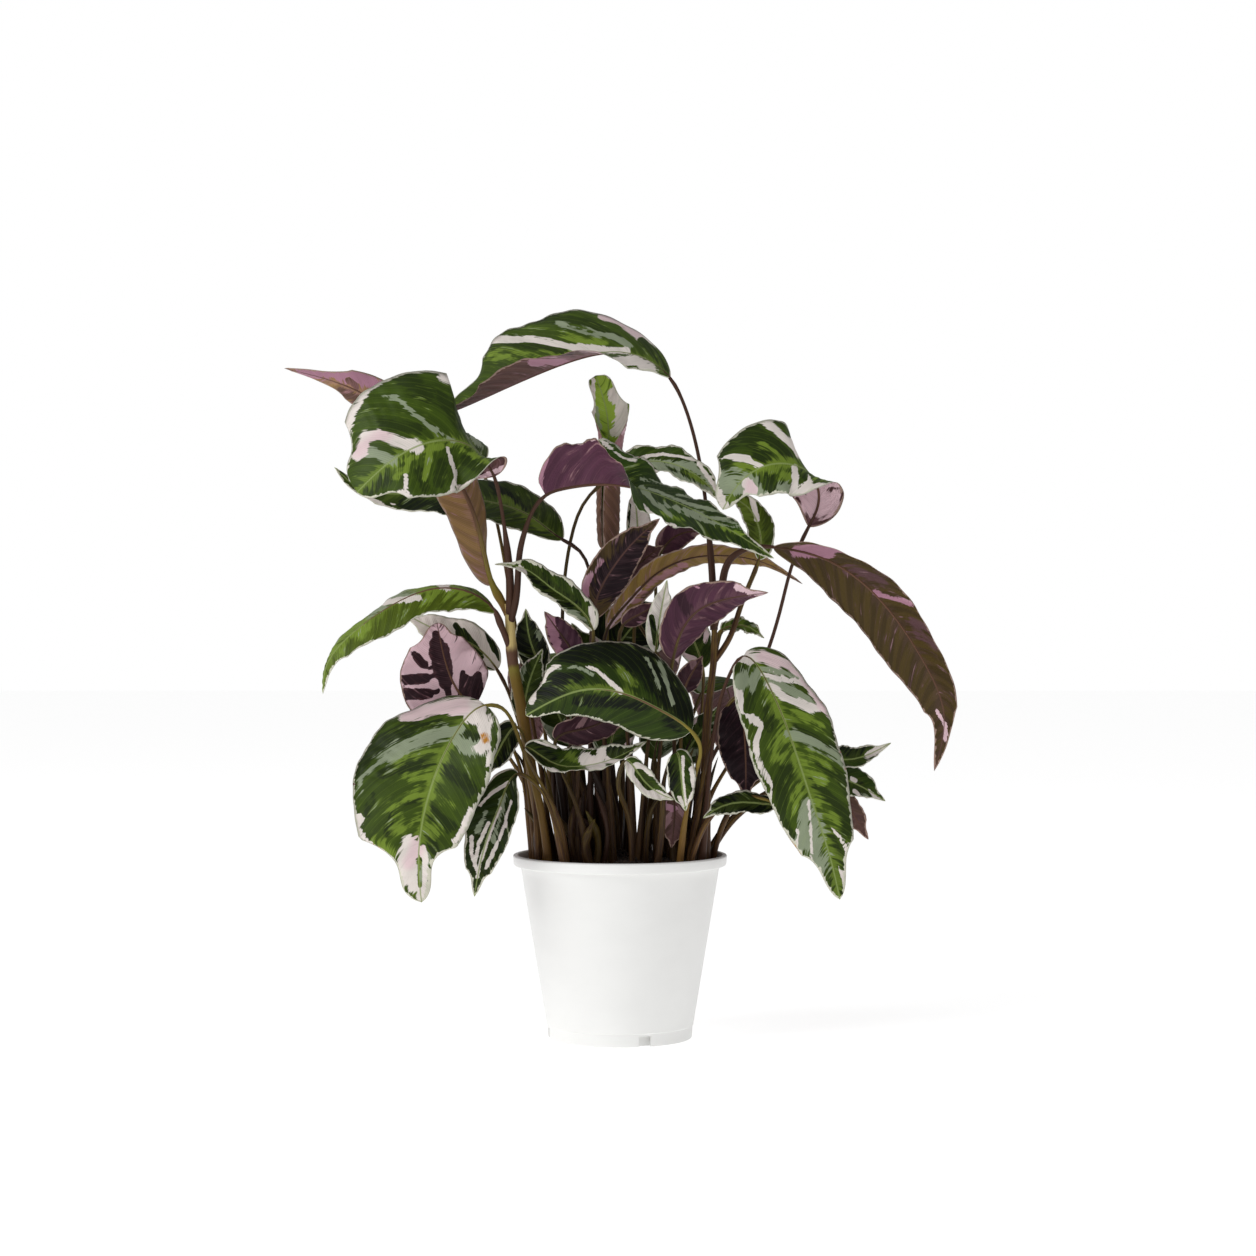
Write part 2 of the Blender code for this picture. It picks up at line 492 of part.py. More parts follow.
def blade_grid(spec, rows, columns):
    """Points of the blade's middle surface: each side of the rib is an arc that starts at the angle lift and
    turns by curl, and its margin waves up and down."""
    place, base, tip = leaf_line(spec)
    t = np.linspace(0, 1, rows + 1) ** 1.2
    distance = base + t * (tip - base)
    centre = place(distance)
    tangent = unit(place(distance + 0.5 * MM) - place(distance - 0.5 * MM))
    faces = unit(np.array(spec["faces"], float))
    looks = np.stack([spread(faces[:, axis], t) for axis in range(3)], axis=1)
    normal = unit(looks - (looks * tangent).sum(axis=1, keepdims=True) * tangent)
    side = np.cross(tangent, normal)
    profiles = blade_profile(t, *spec["form"][:2]), blade_profile(t, *spec["form"][2:])
    height, turns, phase = spec["wave"]
    ripple = height * MM * np.sin(2 * math.pi * (turns * t + phase))
    grid = np.empty((rows + 1, columns + 1, 3))
    for column, s in enumerate(np.linspace(-1, 1, columns + 1)):
        right = int(s > 0)
        width = spec["half"][right] * MM * profiles[right]
        lift = np.radians(spread(spec["lift"][right], t))
        curl = np.radians(spread(spec["curl"][right], t))
        curl = np.where(np.abs(curl) < 1e-3, 1e-3, curl)
        out = width * (np.sin(lift + curl * abs(s)) - np.sin(lift)) / curl
        rise = width * (np.cos(lift) - np.cos(lift + curl * abs(s))) / curl + ripple * profiles[right] * s * s
        grid[:, column] = centre + side * (np.sign(s) * out)[:, None] + normal * rise[:, None]
    return grid


def blade_object(name, spec, collection):
    """A grid moved to the blade's surface, its ends drawn to points, split into triangles, then thickened."""
    rows, columns = spec["cells"]
    surface = bmesh.new()
    bmesh.ops.create_grid(surface, x_segments=columns, y_segments=rows, size=1)
    points = blade_grid(spec, rows, columns)
    for vertex in surface.verts:
        column = round((vertex.co.x + 1) / 2 * columns)
        row = round((vertex.co.y + 1) / 2 * rows)
        vertex.co = points[row, column]
    bmesh.ops.remove_doubles(surface, verts=surface.verts, dist=0.05 * MM)
    bmesh.ops.triangulate(surface, faces=surface.faces)
    mesh = bpy.data.meshes.new(name)
    surface.to_mesh(mesh)
    surface.free()
    made = add_object(name, mesh, collection)
    thick = made.modifiers.new("Solidify", "SOLIDIFY")
    thick.thickness = BLADE
    thick.offset = 0
    return made


def tube_object(name, points, radii, sides, collection):
    """A tapered tube through the points, as a mesh with welded caps."""
    curve = bpy.data.curves.new(name, "CURVE")
    curve.dimensions = "3D"
    curve.bevel_depth = 1
    curve.bevel_resolution = (sides - 4) // 2
    curve.use_fill_caps = True
    spline = curve.splines.new("POLY")
    spline.points.add(len(points) - 1)
    for target, place, radius in zip(spline.points, points, radii):
        target.co = (*place, 1)
        target.radius = radius
    guide = add_object(name + "_guide", curve, collection)
    graph = bpy.context.evaluated_depsgraph_get()
    mesh = bpy.data.meshes.new_from_object(guide.evaluated_get(graph))
    bpy.data.objects.remove(guide)
    welded = bmesh.new()
    welded.from_mesh(mesh)
    bmesh.ops.remove_doubles(welded, verts=welded.verts, dist=0.01 * MM)
    bmesh.ops.triangulate(welded, faces=welded.faces)
    bmesh.ops.recalc_face_normals(welded, faces=welded.faces)
    welded.to_mesh(mesh)
    welded.free()
    return add_object(name, mesh, collection)


def stalk_path(spec):
    """Points along the stalk, the last one a little way up the midrib, and the radius at each."""
    place, base, tip = leaf_line(spec)
    end = base + 0.06 * (tip - base)
    count = max(3, round(end / STALK_SPACING) + 1)
    distance = np.linspace(0, end, count + 1)
    slim = distance / end
    radii = spec["radius"] * STALK_RADIUS * (1.15 - 0.35 * slim)
    radii[-1] = TIP_RADIUS
    return place(distance), radii


def stem_path(spec):
    x, y = spec["foot"]
    points = [np.array((x * MM, y * MM, STEM_FOOT)), *(at(place) for place in spec["line"])]
    return points, spread(spec["radii"], np.linspace(0, 1, len(points))) * MM


def fuse(name, pieces, collection):
    """One solid from pieces that overlap."""
    first, others = pieces[0], pieces[1:]
    helpers = bpy.data.collections.new(name + "_pieces")
    for piece in others:
        helpers.objects.link(piece)
    union = first.modifiers.new("Union", "BOOLEAN")
    union.operation = "UNION"
    union.operand_type = "COLLECTION"
    union.collection = helpers
    union.solver = "EXACT"
    graph = bpy.context.evaluated_depsgraph_get()
    mesh = bpy.data.meshes.new_from_object(first.evaluated_get(graph))
    for piece in pieces:
        bpy.data.objects.remove(piece)
    bpy.data.collections.remove(helpers)
    made = add_object(name, mesh, collection)
    mesh.shade_smooth()
    mesh.set_sharp_from_angle(angle=math.radians(50))
    return made


def turned(name, profile, sides, collection):
    """The profile, a list of (radius, height), turned about Z."""
    mesh = bpy.data.meshes.new(name)
    points = [(radius, 0, height) for radius, height in profile]
    mesh.from_pydata(points, [(i, i + 1) for i in range(len(points) - 1)], [])
    made = add_object(name, mesh, collection)
    screw = made.modifiers.new("Screw", "SCREW")
    screw.steps = sides
    screw.render_steps = sides
    screw.use_merge_vertices = True
    screw.merge_threshold = 0.05 * MM
    return made


def wall_radius(height):
    """The outside of the pot's wall at a height, between the foot's step and the neck."""
    neck = RIM_TOP - RIM_BAND
    return FOOT_RADIUS + (NECK_RADIUS - FOOT_RADIUS) * (height - FOOT_STEP) / (neck - FOOT_STEP)


def cut(target, cutters, name):
    helpers = bpy.data.collections.new(name)
    for cutter in cutters:
        cutter.hide_render = True
        cutter.display_type = "WIRE"
        helpers.objects.link(cutter)
    bore = target.modifiers.new(name, "BOOLEAN")
    bore.operation = "DIFFERENCE"
    bore.operand_type = "COLLECTION"
    bore.collection = helpers
    bore.solver = "EXACT"


def build_pot(collection, cutters):
    neck = RIM_TOP - RIM_BAND
    inner_floor = FOOT_STEP + 0.5 * MM
    profile = (
        (0, FLOOR), (GROOVE_INNER - WALL, FLOOR), (GROOVE_INNER - WALL, inner_floor),
        (wall_radius(inner_floor) - WALL, inner_floor), (wall_radius(neck) - WALL, neck),
        (RIM_RADIUS - 4.5 * MM, neck + 1.5 * MM), (RIM_RADIUS - 4 * MM, RIM_TOP - 0.8 * MM),
        (RIM_RADIUS - 3 * MM, RIM_TOP), (RIM_RADIUS - 0.9 * MM, RIM_TOP), (RIM_RADIUS, RIM_TOP - MM),
        (RIM_RADIUS - 0.6 * MM, neck + 0.6 * MM), (RIM_RADIUS - 1.2 * MM, neck), (wall_radius(neck), neck),
        (FOOT_RADIUS, FOOT_STEP), (FOOT_RADIUS - 0.8 * MM, FOOT_STEP - 0.6 * MM),
        (FOOT_RADIUS - 1.1 * MM, 0), (GROOVE_OUTER, 0), (GROOVE_OUTER, GROOVE_TOP), (GROOVE_INNER, GROOVE_TOP),
        (GROOVE_INNER, 0), (0, 0),
    )
    pot = turned("pot", profile, POT_SIDES, collection)
    drains = []
    for angle in NOTCH_ANGLES:
        turn = math.radians(angle)
        across = np.array((math.sin(turn), -math.cos(turn)))
        bpy.ops.mesh.primitive_cube_add(size=1)
        notch = bpy.context.active_object
        notch.name = f"notch_{angle}"
        notch.scale = (NOTCH_WIDTH, 6 * MM, 2 * GROOVE_TOP - MM)
        notch.rotation_euler = (0, 0, turn)
        notch.location = (*(across * (GROOVE_OUTER + 1.6 * MM)), 0)
        bpy.ops.mesh.primitive_cylinder_add(vertices=8, radius=DRAIN_RADIUS, depth=6 * MM)
        drain = bpy.context.active_object
        drain.name = f"drain_{angle}"
        drain.location = (*(across * (GROOVE_INNER + GROOVE_OUTER) / 2), inner_floor - MM)
        for cutter in (notch, drain):
            for held in list(cutter.users_collection):
                held.objects.unlink(cutter)
            cutters.objects.link(cutter)
            drains.append(cutter)
    cut(pot, drains, "drain_cutters")
    pot.data.materials.append(finish("pot_plastic", (0.86, 0.86, 0.86), 0.45))
    return pot


def build_soil(collection, cutters, feet):
    """The soil: a turned filling whose top swells and rolls by a sum of sines, with a hole for each stem."""
    floor = FLOOR + SEAT_GAP
    ledge = FOOT_STEP + 0.5 * MM + SEAT_GAP
    inset = WALL + SEAT_GAP + 0.25 * MM
    core = GROOVE_INNER - WALL - SEAT_GAP
    edge = wall_radius(SOIL_EDGE) - inset
    top = [(edge * k, SOIL_EDGE + SOIL_CROWN * (1 - k * k)) for k in (0, 0.18, 0.36, 0.54, 0.72, 0.88, 1)]
    profile = (*top, (wall_radius(ledge) - inset, ledge), (core, ledge), (core, floor), (0, floor))
    draft = turned("soil_draft", profile, SOIL_SIDES, collection)
    graph = bpy.context.evaluated_depsgraph_get()
    mesh = bpy.data.meshes.new_from_object(draft.evaluated_get(graph))
    bpy.data.objects.remove(draft)
    points = np.empty(len(mesh.vertices) * 3)
    mesh.vertices.foreach_get("co", points)
    points = points.reshape(-1, 3)
    x, y, z = points.T
    reach = np.clip(1 - np.hypot(x, y) / edge, 0, 1)
    lumps = np.sin(x * 190 + 1) * np.cos(y * 230) + 0.6 * np.sin((x + y) * 330)
    z += np.where(z > SOIL_EDGE - MM, lumps * SOIL_LUMP * np.minimum(1, 6 * reach), 0)
    mesh.vertices.foreach_set("co", points.ravel())
    soil = add_object("soil", mesh, collection)
    holes = []
    for name, start, end, radius in feet:
        way = unit(end - start)
        line = (start - way * 1.2 * MM, start + way * 24 * MM)
        holes.append(tube_object("hole_" + name, line, (radius + HOLE_GAP,) * 2, 6, cutters))
    cut(soil, holes, "stem_holes")
    soil.data.materials.append(finish("potting_soil", (0.03, 0.02, 0.015), 0.95))
    return soil


def build_plant(collection):
    """Every leaf with its stalk is one solid, and leaves that share a stem are one with it. Returns the feet."""
    feet = []
    shared = {name: [] for name in STEMS}
    for name, spec in LEAVES.items():
        points, radii = stalk_path(spec)
        sides = 6 if spec["cells"] in (LARGE, MIDDLE) else 4
        pieces = [blade_object(name + "_blade", spec, collection),
                  tube_object(name + "_stalk", points, radii, sides, collection)]
        if spec["stem"]:
            shared[spec["stem"]] += pieces
            continue
        feet.append((name, points[0], points[1], radii[0]))
        made = fuse(name, pieces, collection)
        made.data.materials.append(finish(name + "_colour", COLOURS[spec["kind"]]))
    for name, spec in STEMS.items():
        points, radii = stem_path(spec)
        feet.append((name, points[0], points[1], radii[0]))
        main = tube_object(name + "_main", points, radii, 6, collection)
        made = fuse(name, [main, *shared[name]], collection)
        made.data.materials.append(finish(name + "_colour", COLOURS["stem"]))
    return feet


def main():
    for old in list(bpy.data.objects):
        bpy.data.objects.remove(old)
    collection = bpy.data.collections.new("potted_calathea")
    cutters = bpy.data.collections.new("cutters")
    bpy.context.scene.collection.children.link(collection)
    bpy.context.scene.collection.children.link(cutters)
    feet = build_plant(collection)
    build_pot(collection, cutters)
    build_soil(collection, cutters, feet)


main()
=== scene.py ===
import math

import bmesh
import bpy
import numpy as np
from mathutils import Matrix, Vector


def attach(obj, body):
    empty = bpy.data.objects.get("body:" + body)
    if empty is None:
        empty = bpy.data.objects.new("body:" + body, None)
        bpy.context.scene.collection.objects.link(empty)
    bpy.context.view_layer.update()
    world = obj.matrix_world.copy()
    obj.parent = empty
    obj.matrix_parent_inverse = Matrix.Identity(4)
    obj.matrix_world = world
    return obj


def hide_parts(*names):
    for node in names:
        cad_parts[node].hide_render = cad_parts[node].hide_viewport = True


# The potted calathea: every leaf, stalk and stem, the soil and the pot, made finely over the solids.
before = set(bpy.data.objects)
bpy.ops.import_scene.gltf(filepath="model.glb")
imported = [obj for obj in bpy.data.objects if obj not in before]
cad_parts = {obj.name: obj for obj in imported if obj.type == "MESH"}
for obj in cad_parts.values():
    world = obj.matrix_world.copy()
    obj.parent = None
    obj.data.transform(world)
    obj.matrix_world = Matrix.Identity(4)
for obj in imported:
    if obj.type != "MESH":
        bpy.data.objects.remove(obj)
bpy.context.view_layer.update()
mm = 0.001

# The eye that the leaves are laid out from, in metres, and the camera that stands there: its lens in
# millimetres, and how far it looks down in degrees.
eye = {"distance": 1.9, "height": 0.300, "across": 0.0056, "lens": 77.8, "sensor": 36, "tilt": 0.413}

# Distances in the leaf shapes are millimetres and angles are degrees. A place is (across, up, depth) as the
# front view shows it, a foot is (across, depth) at the soil, and stalk ends where the blade begins.
# faces are the directions that the upper face looks in. half, lift and curl are (left, right) of the rib.


def leaf(stalk, rib, faces, half, foot=None, stem=None, lift=(8, 8), curl=(0, 0), wave=(1.5, 3, 0),
         form=(0.6, 0.95, 0.6, 0.95), size="large", radius=1.0):
    return {
        "stalk": stalk, "rib": rib, "faces": faces, "half": half, "foot": foot, "stem": stem, "lift": lift,
        "curl": curl, "wave": wave, "form": form, "size": size, "radius": radius,
    }


stemShapes = {
    "stem_left": {
        "foot": (-49, -10),
        "line": ((-58, 160, -12), (-64, 200, -13), (-70, 235, -14), (-75, 262, -14), (-77, 288, -13),
                 (-78, 303, -12)),
        "radii": (3.9, 3.8, 3.8, 3.9, 3.9, 3.0), "warm": 0.1, "cream": 2.2,
    },
    "stem_right": {
        "foot": (59, -8),
        "line": ((60, 170, -10), (61, 220, -10), (65, 258, -10), (66, 285, -10), (65.5, 300, -9)),
        "radii": (3.8, 3.6, 3.2, 2.4, 1.8), "warm": 0.5, "cream": 0,
    },
}

leafShapes = {
    "leaf_crown": leaf(
        stem="stem_right",
        stalk=((65.8, 285, -10), (64.8, 318, -7), (62.4, 350, -3), (56, 401, 0), (50, 427, 2),
               (43, 447, 4)),
        rib=((35, 461, 6), (22, 472, 5), (0, 479, 2), (-28, 475, -2), (-55, 465, -4), (-82, 453, -3),
             (-106, 442, 3), (-121, 436, 9)),
        faces=((0.55, -0.35, 0.75), (0.1, -0.5, 0.86), (0, -0.5, 0.87), (-0.2, -0.5, 0.85)),
        half=(27, 52), lift=((0, 6, 44, 60, 54, 40), (14, 22, 26, 24)), curl=((-30, -8, -4), (-10, -16)),
        wave=(2, 3, 0.2), form=(0.62, 0.55, 0.75, 0.62)),
    "leaf_left_face": leaf(
        stem="stem_left",
        stalk=((-77, 296, -13), (-77, 318, -16), (-80, 350, -21), (-84, 376, -26)),
        rib=((-88, 392, -29), (-97, 407, -33), (-111, 416, -43), (-134, 416, -56), (-160, 403, -62),
             (-184, 381, -62)),
        faces=((0.2, 0.8, 0.4), (0, -0.5, 1), (-0.1, -0.95, 0.2), (-0.1, -0.95, 0.2), (-0.1, -0.95, 0.2),
               (-0.2, -0.95, 0.3), (-0.5, -0.85, 0.1)),
        half=(40, 61), lift=(8, -4), curl=(-10, -20), wave=(2, 3, 0), form=(0.6, 0.6, 0.66, 0.5)),
    "leaf_left_high": leaf(
        stem="stem_left",
        stalk=((-78, 296, -12), (-83, 305, -10)),
        rib=((-89, 316, -10), (-98, 350, -13), (-115, 392, -8), (-150, 430, 4), (-190, 455, 14),
             (-235, 468, 18)),
        faces=((-0.8, 0.6, 0), (-0.4, 0.9, -0.2), (0, 0.9, 0.1), (0, 0.9, 0.4), (0, 0.3, 1)),
        half=(20, 20), lift=((35, 30, 10, 5), (30, 25, 10, 5)), curl=(10, 10), form=(0.5, 0.75, 0.5, 0.75)),
    "leaf_left_arch": leaf(
        stem="stem_left",
        stalk=((-76, 270, -14), (-80, 280, -16), (-84, 290, -19)),
        rib=((-87, 297, -22), (-100, 309, -27), (-128, 314, -34), (-160, 302, -44), (-190, 280, -52),
             (-206, 258, -56), (-208, 240, -56)),
        faces=((0.5, -0.3, 0.8), (0, -0.2, 1), (-0.7, -0.4, 0.6), (-0.9, -0.4, 0)),
        half=(22, 24), lift=(-25, 0), curl=(-15, -15)),
    "leaf_centre_drape": leaf(
        stem="stem_left",
        stalk=((-77, 290, -13), (-73, 305, -18), (-70, 340, -24), (-66, 356, -27), (-60, 370, -30)),
        rib=((-52, 379, -32), (-34, 385, -33), (-10, 387, -36), (12, 384, -41), (40, 374, -46),
             (75, 356, -49), (108, 335, -47)),
        faces=((0, -0.35, 0.93), (0, -0.35, 0.93), (0, -0.4, 0.9), (0.1, -0.6, 0.8), (0.2, -0.85, 0.4)),
        half=(30, 34), lift=((58, 66, 64, 52, 30, 4, -6, -4, 0, 4, 6, 8, 8),
                             (98, 104, 98, 68, 50, 8, -4, -2, 0, 3, 5, 7, 8)),
        wave=(3, 7, -0.38), form=(0.36, 1.15, 0.36, 0.85)),
    "leaf_scroll": leaf(
        foot=(-8, 26),
        stalk=((-9, 180, 28), (-9, 250, 28), (-9, 310, 28)),
        rib=((-9, 342, 28), (-9, 375, 28), (-8, 410, 27), (-9, 435, 26), (-17, 463, 24)),
        faces=((0, -1, 0), (0, -1, 0), (0.2, -1, 0)),
        half=(19, 31), lift=(0, 0), curl=((150, 150, 150, 150, 70, 40), (200, 200, 195, 160, 70, 30)),
        wave=(0, 1, 0), form=(0.12, 0.28, 0.12, 0.42)),
    "leaf_centre_back": leaf(
        foot=(-26, 6),
        stalk=((-34, 200, 6), (-40, 270, 4), (-39, 318, 2), (-34, 350, 2), (-25, 374, 3)),
        rib=((-8, 391, 3), (8, 400, 2), (32, 402, -4), (56, 391, -8), (74, 371, -12)),
        faces=((-0.2, -0.8, 0.6), (0, -0.8, 0.6), (0.2, -0.9, 0.3)),
        half=(14, 15), lift=(10, 20), wave=(2.5, 4, 0.3)),
    "leaf_left_mid": leaf(
        foot=(-22, -14),
        stalk=((-21, 200, -12), (-20, 280, -10), (-21, 325, -9), (-29, 341, -7)),
        rib=((-40, 348, -4), (-62, 364, 10), (-100, 376, 30), (-150, 380, 40), (-182, 384, 42),
             (-200, 399, 40)),
        faces=((0, -0.5, 0.9), (0, -0.6, 0.8), (0.3, -0.7, 0.7)),
        half=(22, 24), lift=(-6, 8), wave=(1.5, 4, 0)),
    "leaf_right_face": leaf(
        foot=(52, 8),
        stalk=((62, 190, 4), (85, 230, 0), (103, 269, -4), (113, 302, -6), (121, 332, -7)),
        rib=((132, 357, -8), (139, 374, -10), (137, 389, -15), (125, 399, -24), (103, 400, -33),
             (84, 388, -36), (72, 369, -34)),
        faces=((0.3, 0.9, 0), (0.3, 0.2, 1), (0, -0.9, 0.4), (-0.1, -0.9, 0.3), (-0.3, -0.9, 0.1)),
        half=(25, 34), lift=(5, 5), curl=(-12, -12), wave=(2, 3, 0.5), form=(0.7, 0.8, 0.8, 0.7)),
    "leaf_right_back": leaf(
        stem="stem_right",
        stalk=((65, 262, -10), (77, 280, -4), (84, 300, 0), (91, 318, 4)),
        rib=((97, 334, 7), (98, 352, 12), (90, 370, 16), (73, 380, 18)),
        faces=((0.4, -0.9, 0), (0, -0.9, 0.4)),
        half=(10, 11), size="small", radius=0.7),
    "leaf_right_arch": leaf(
        stem="stem_right",
        stalk=((65.5, 288, -10), (71, 312, -14), (77, 334, -17), (90, 342, -19)),
        rib=((107, 343, -20), (128, 340, -23), (155, 329, -28), (185, 303, -34), (212, 264, -42),
             (227, 225, -46), (220, 186, -46)),
        faces=((0.2, 0.5, 0.8), (0.4, 0.8, 0.5), (0.6, 0.8, 0.2)),
        half=(26, 26), lift=(-10, -10), curl=(-15, -15)),
    "leaf_right_low": leaf(
        foot=(56, -24),
        stalk=((62, 180, -34), (68, 225, -44), (76, 252, -52)),
        rib=((86, 266, -58), (105, 244, -70), (121, 205, -80), (136, 160, -86), (147, 126, -88),
             (154, 96, -86)),
        faces=((0.2, -0.6, 0.8), (0.25, -0.95, 0.2), (0.1, -1, 0)),
        half=(32, 32), lift=(8, 8), curl=(-12, -12), wave=(2, 4, 0), form=(0.42, 0.75, 0.42, 0.75)),
    "leaf_left_low": leaf(
        foot=(-48, -28),
        stalk=((-58, 170, -32), (-72, 212, -38), (-84, 231, -43)),
        rib=((-94, 232, -48), (-114, 214, -62), (-129, 184, -74), (-138, 152, -80), (-141, 125, -82),
             (-139, 94, -80)),
        faces=((-0.3, -0.6, 0.75), (-0.2, -0.95, 0.25), (0, -1, 0)),
        half=(38, 56), lift=(8, 8), curl=(-12, -16), wave=(2, 4, 0.2), form=(0.4, 0.75, 0.55, 0.78)),
    "leaf_centre": leaf(
        foot=(40, -38),
        stalk=((47, 160, -50), (54, 188, -60), (56, 204, -66)),
        rib=((50, 214, -70), (28, 229, -74), (4, 240, -74), (-25, 243, -72), (-48, 235, -70),
             (-66, 225, -68)),
        faces=((0.3, -0.8, 0.5), (0, -0.85, 0.5), (-0.3, -0.85, 0.4)),
        half=(24, 44), lift=(-35, 0), curl=(-20, -20), wave=(1.5, 3, 0), form=(0.4, 0.7, 0.6, 0.7)),
    "leaf_olive": leaf(
        foot=(-10, -4),
        stalk=((-11, 200, -4), (-12, 262, -4)),
        rib=((-9, 285, -3), (5, 304, -1), (25, 324, 3), (48, 335, 8), (75, 337, 13), (101, 332, 15),
             (128, 317, 15)),
        faces=((0, 0.8, 0.5), (0, 0.7, 0.7), (0.2, 0.7, 0.7)),
        half=(11, 11), lift=(5, 5), wave=(1, 4, 0)),
    "leaf_purple": leaf(
        foot=(26, -14),
        stalk=((28, 200, -24), (34, 245, -32)),
        rib=((37, 264, -35), (43, 284, -37), (54, 298, -39), (72, 306, -41), (104, 311, -42)),
        faces=((-0.5, 0.8, 0.1), (-0.3, 0.9, 0.3), (0, 0.6, 0.8)),
        half=(18, 18), lift=(12, 12)),
    "leaf_right_sliver": leaf(
        stem="stem_right",
        stalk=((64, 250, -10), (67, 270, -3)),
        rib=((71, 284, 2), (86, 288, 6), (101, 279, 8)),
        faces=((-0.3, -0.7, 0.6), (0, -0.7, 0.7)),
        half=(7, 7), size="small", radius=0.7),
    "leaf_cupped": leaf(
        foot=(-36, -34),
        stalk=((-46, 160, -42), (-62, 190, -47)),
        rib=((-66, 202, -49), (-50, 193, -51), (-30, 189, -52), (-6, 194, -52), (19, 207, -51)),
        faces=((0, -0.6, 0.8), (0, -0.5, 0.85), (0, -0.7, 0.7)),
        half=(16, 15), lift=(22, 22), wave=(1.5, 3, 0)),
    "leaf_front_curl": leaf(
        foot=(8, -36),
        stalk=((4, 160, -44), (-1, 182, -57)),
        rib=((4, 193, -62), (16, 180, -66), (38, 166, -66)),
        faces=((0.2, -0.8, 0.6), (0, -1, 0.2)),
        half=(8, 9), lift=(20, 20), size="small", radius=0.8),
    "leaf_front_tip": leaf(
        foot=(24, -42),
        stalk=((30, 160, -50), (33, 188, -56)),
        rib=((39, 199, -60), (43, 180, -63), (46, 158, -62)),
        faces=((0.2, -0.8, 0.5), (0, -1, 0)),
        half=(10, 10), lift=(10, 10), size="small", radius=0.8),
    "leaf_front_droop": leaf(
        foot=(18, -24),
        stalk=((20, 150, -30), (29, 168, -34)),
        rib=((34, 170, -36), (38, 152, -38), (36, 132, -38)),
        faces=((0, 0.7, 0.6), (0, 1, 0)),
        half=(9, 9), lift=(-5, -5), size="small", radius=0.8),
    "leaf_left_turned": leaf(
        foot=(-60, 4),
        stalk=((-66, 170, 2), (-84, 215, -4)),
        rib=((-103, 230, -8), (-114, 243, -8), (-122, 262, -5), (-128, 290, 0)),
        faces=((0, 0.7, -0.6), (0, 1, 0.1), (0, 0.9, 0.2)),
        half=(26, 36), lift=(-5, -5), wave=(3, 3, 0), form=(0.4, 0.7, 0.4, 0.7)),
    "leaf_left_blotched": leaf(
        foot=(-52, 18),
        stalk=((-60, 170, 18), (-74, 230, 12)),
        rib=((-86, 257, 8), (-104, 275, 8), (-126, 284, 8), (-152, 297, 8)),
        faces=((0.3, -0.9, 0.2), (0, -0.9, 0.4)),
        half=(15, 14), lift=(10, 10), wave=(2, 3, 0), size="small"),
    "leaf_left_small": leaf(
        foot=(-36, -50),
        stalk=((-46, 150, -50), (-60, 178, -46)),
        rib=((-71, 184, -44), (-83, 165, -45), (-91, 145, -46), (-97, 125, -46), (-102, 98, -44)),
        faces=((-0.3, -0.6, 0.8), (-0.2, -1, 0.2), (0, -1, 0)),
        half=(17, 17), lift=(12, 12), wave=(1.5, 3, 0)),
    "leaf_left_shade": leaf(
        foot=(-56, -20),
        stalk=((-61, 180, -22), (-66, 205, -24)),
        rib=((-72, 217, -26), (-82, 206, -30), (-92, 184, -30)),
        faces=((0, -0.8, 0.6), (-0.2, -1, 0)),
        half=(11, 11), size="small", radius=0.8),
    "leaf_far_right_high": leaf(
        foot=(63, 4),
        stalk=((78, 160, -6), (106, 185, -18)),
        rib=((132, 196, -26), (160, 194, -30), (190, 206, -30)),
        faces=((0, -0.8, 0.6), (0, -0.8, 0.6)),
        half=(10, 9), lift=(15, 15), size="small", radius=0.8),
    "leaf_far_right_low": leaf(
        foot=(57, 16),
        stalk=((80, 152, 8), (106, 172, -2)),
        rib=((130, 184, -10), (158, 180, -14), (186, 165, -16)),
        faces=((0, -0.8, 0.6), (0.2, -0.8, 0.5)),
        half=(14, 13), lift=(10, 10), size="small", radius=0.8),
    "leaf_far_right_under": leaf(
        foot=(56, 30),
        stalk=((76, 150, 24), (108, 174, 16)),
        rib=((132, 182, 10), (154, 168, 6), (174, 138, 4)),
        faces=((0.3, 0.6, 0.7), (0.4, 0.9, 0)),
        half=(13, 12), lift=(-8, -8), size="small", radius=0.8),
    "leaf_right_shade": leaf(
        foot=(46, -12),
        stalk=((58, 180, -22), (72, 226, -28)),
        rib=((82, 238, -30), (87, 216, -33), (88, 192, -34), (88, 166, -32)),
        faces=((0, 0.8, 0.6), (0, 1, 0.1), (0, 1, 0)),
        half=(19, 19), lift=(-6, -6)),
    "leaf_right_front": leaf(
        foot=(46, -34),
        stalk=((62, 152, -40), (94, 168, -44)),
        rib=((108, 163, -46), (86, 164, -48), (58, 153, -50)),
        faces=((0, -0.7, 0.7), (0, -0.9, 0.4)),
        half=(9, 9), lift=(5, 5), size="small", radius=0.8),
    "leaf_pale_curl": leaf(
        foot=(-30, -24),
        stalk=((-29, 200, -25), (-22, 262, -28)),
        rib=((-19, 284, -34), (-30, 301, -35), (-48, 314, -36), (-66, 327, -36), (-88, 331, -36)),
        faces=((0.3, -0.8, 0.4), (0, -0.8, 0.6), (0, -0.6, 0.8)),
        half=(12, 12), lift=(20, 20), wave=(2, 3, 0), size="small"),
    "leaf_pink_back": leaf(
        foot=(-34, 16),
        stalk=((-33, 180, 12), (-31, 240, 4)),
        rib=((-30, 262, 0), (-40, 280, -2), (-53, 298, -2)),
        faces=((0.2, 0.9, 0), (0, 1, 0)),
        half=(11, 11), lift=(-8, -8), size="small"),
    "leaf_dark_back": leaf(
        foot=(-40, 28),
        stalk=((-48, 180, 28), (-54, 236, 24)),
        rib=((-55, 254, 22), (-63, 278, 20), (-66, 300, 20)),
        faces=((0, -1, 0), (0, -1, 0)),
        half=(12, 11), size="small"),
    "leaf_dark_spear": leaf(
        foot=(-4, -20),
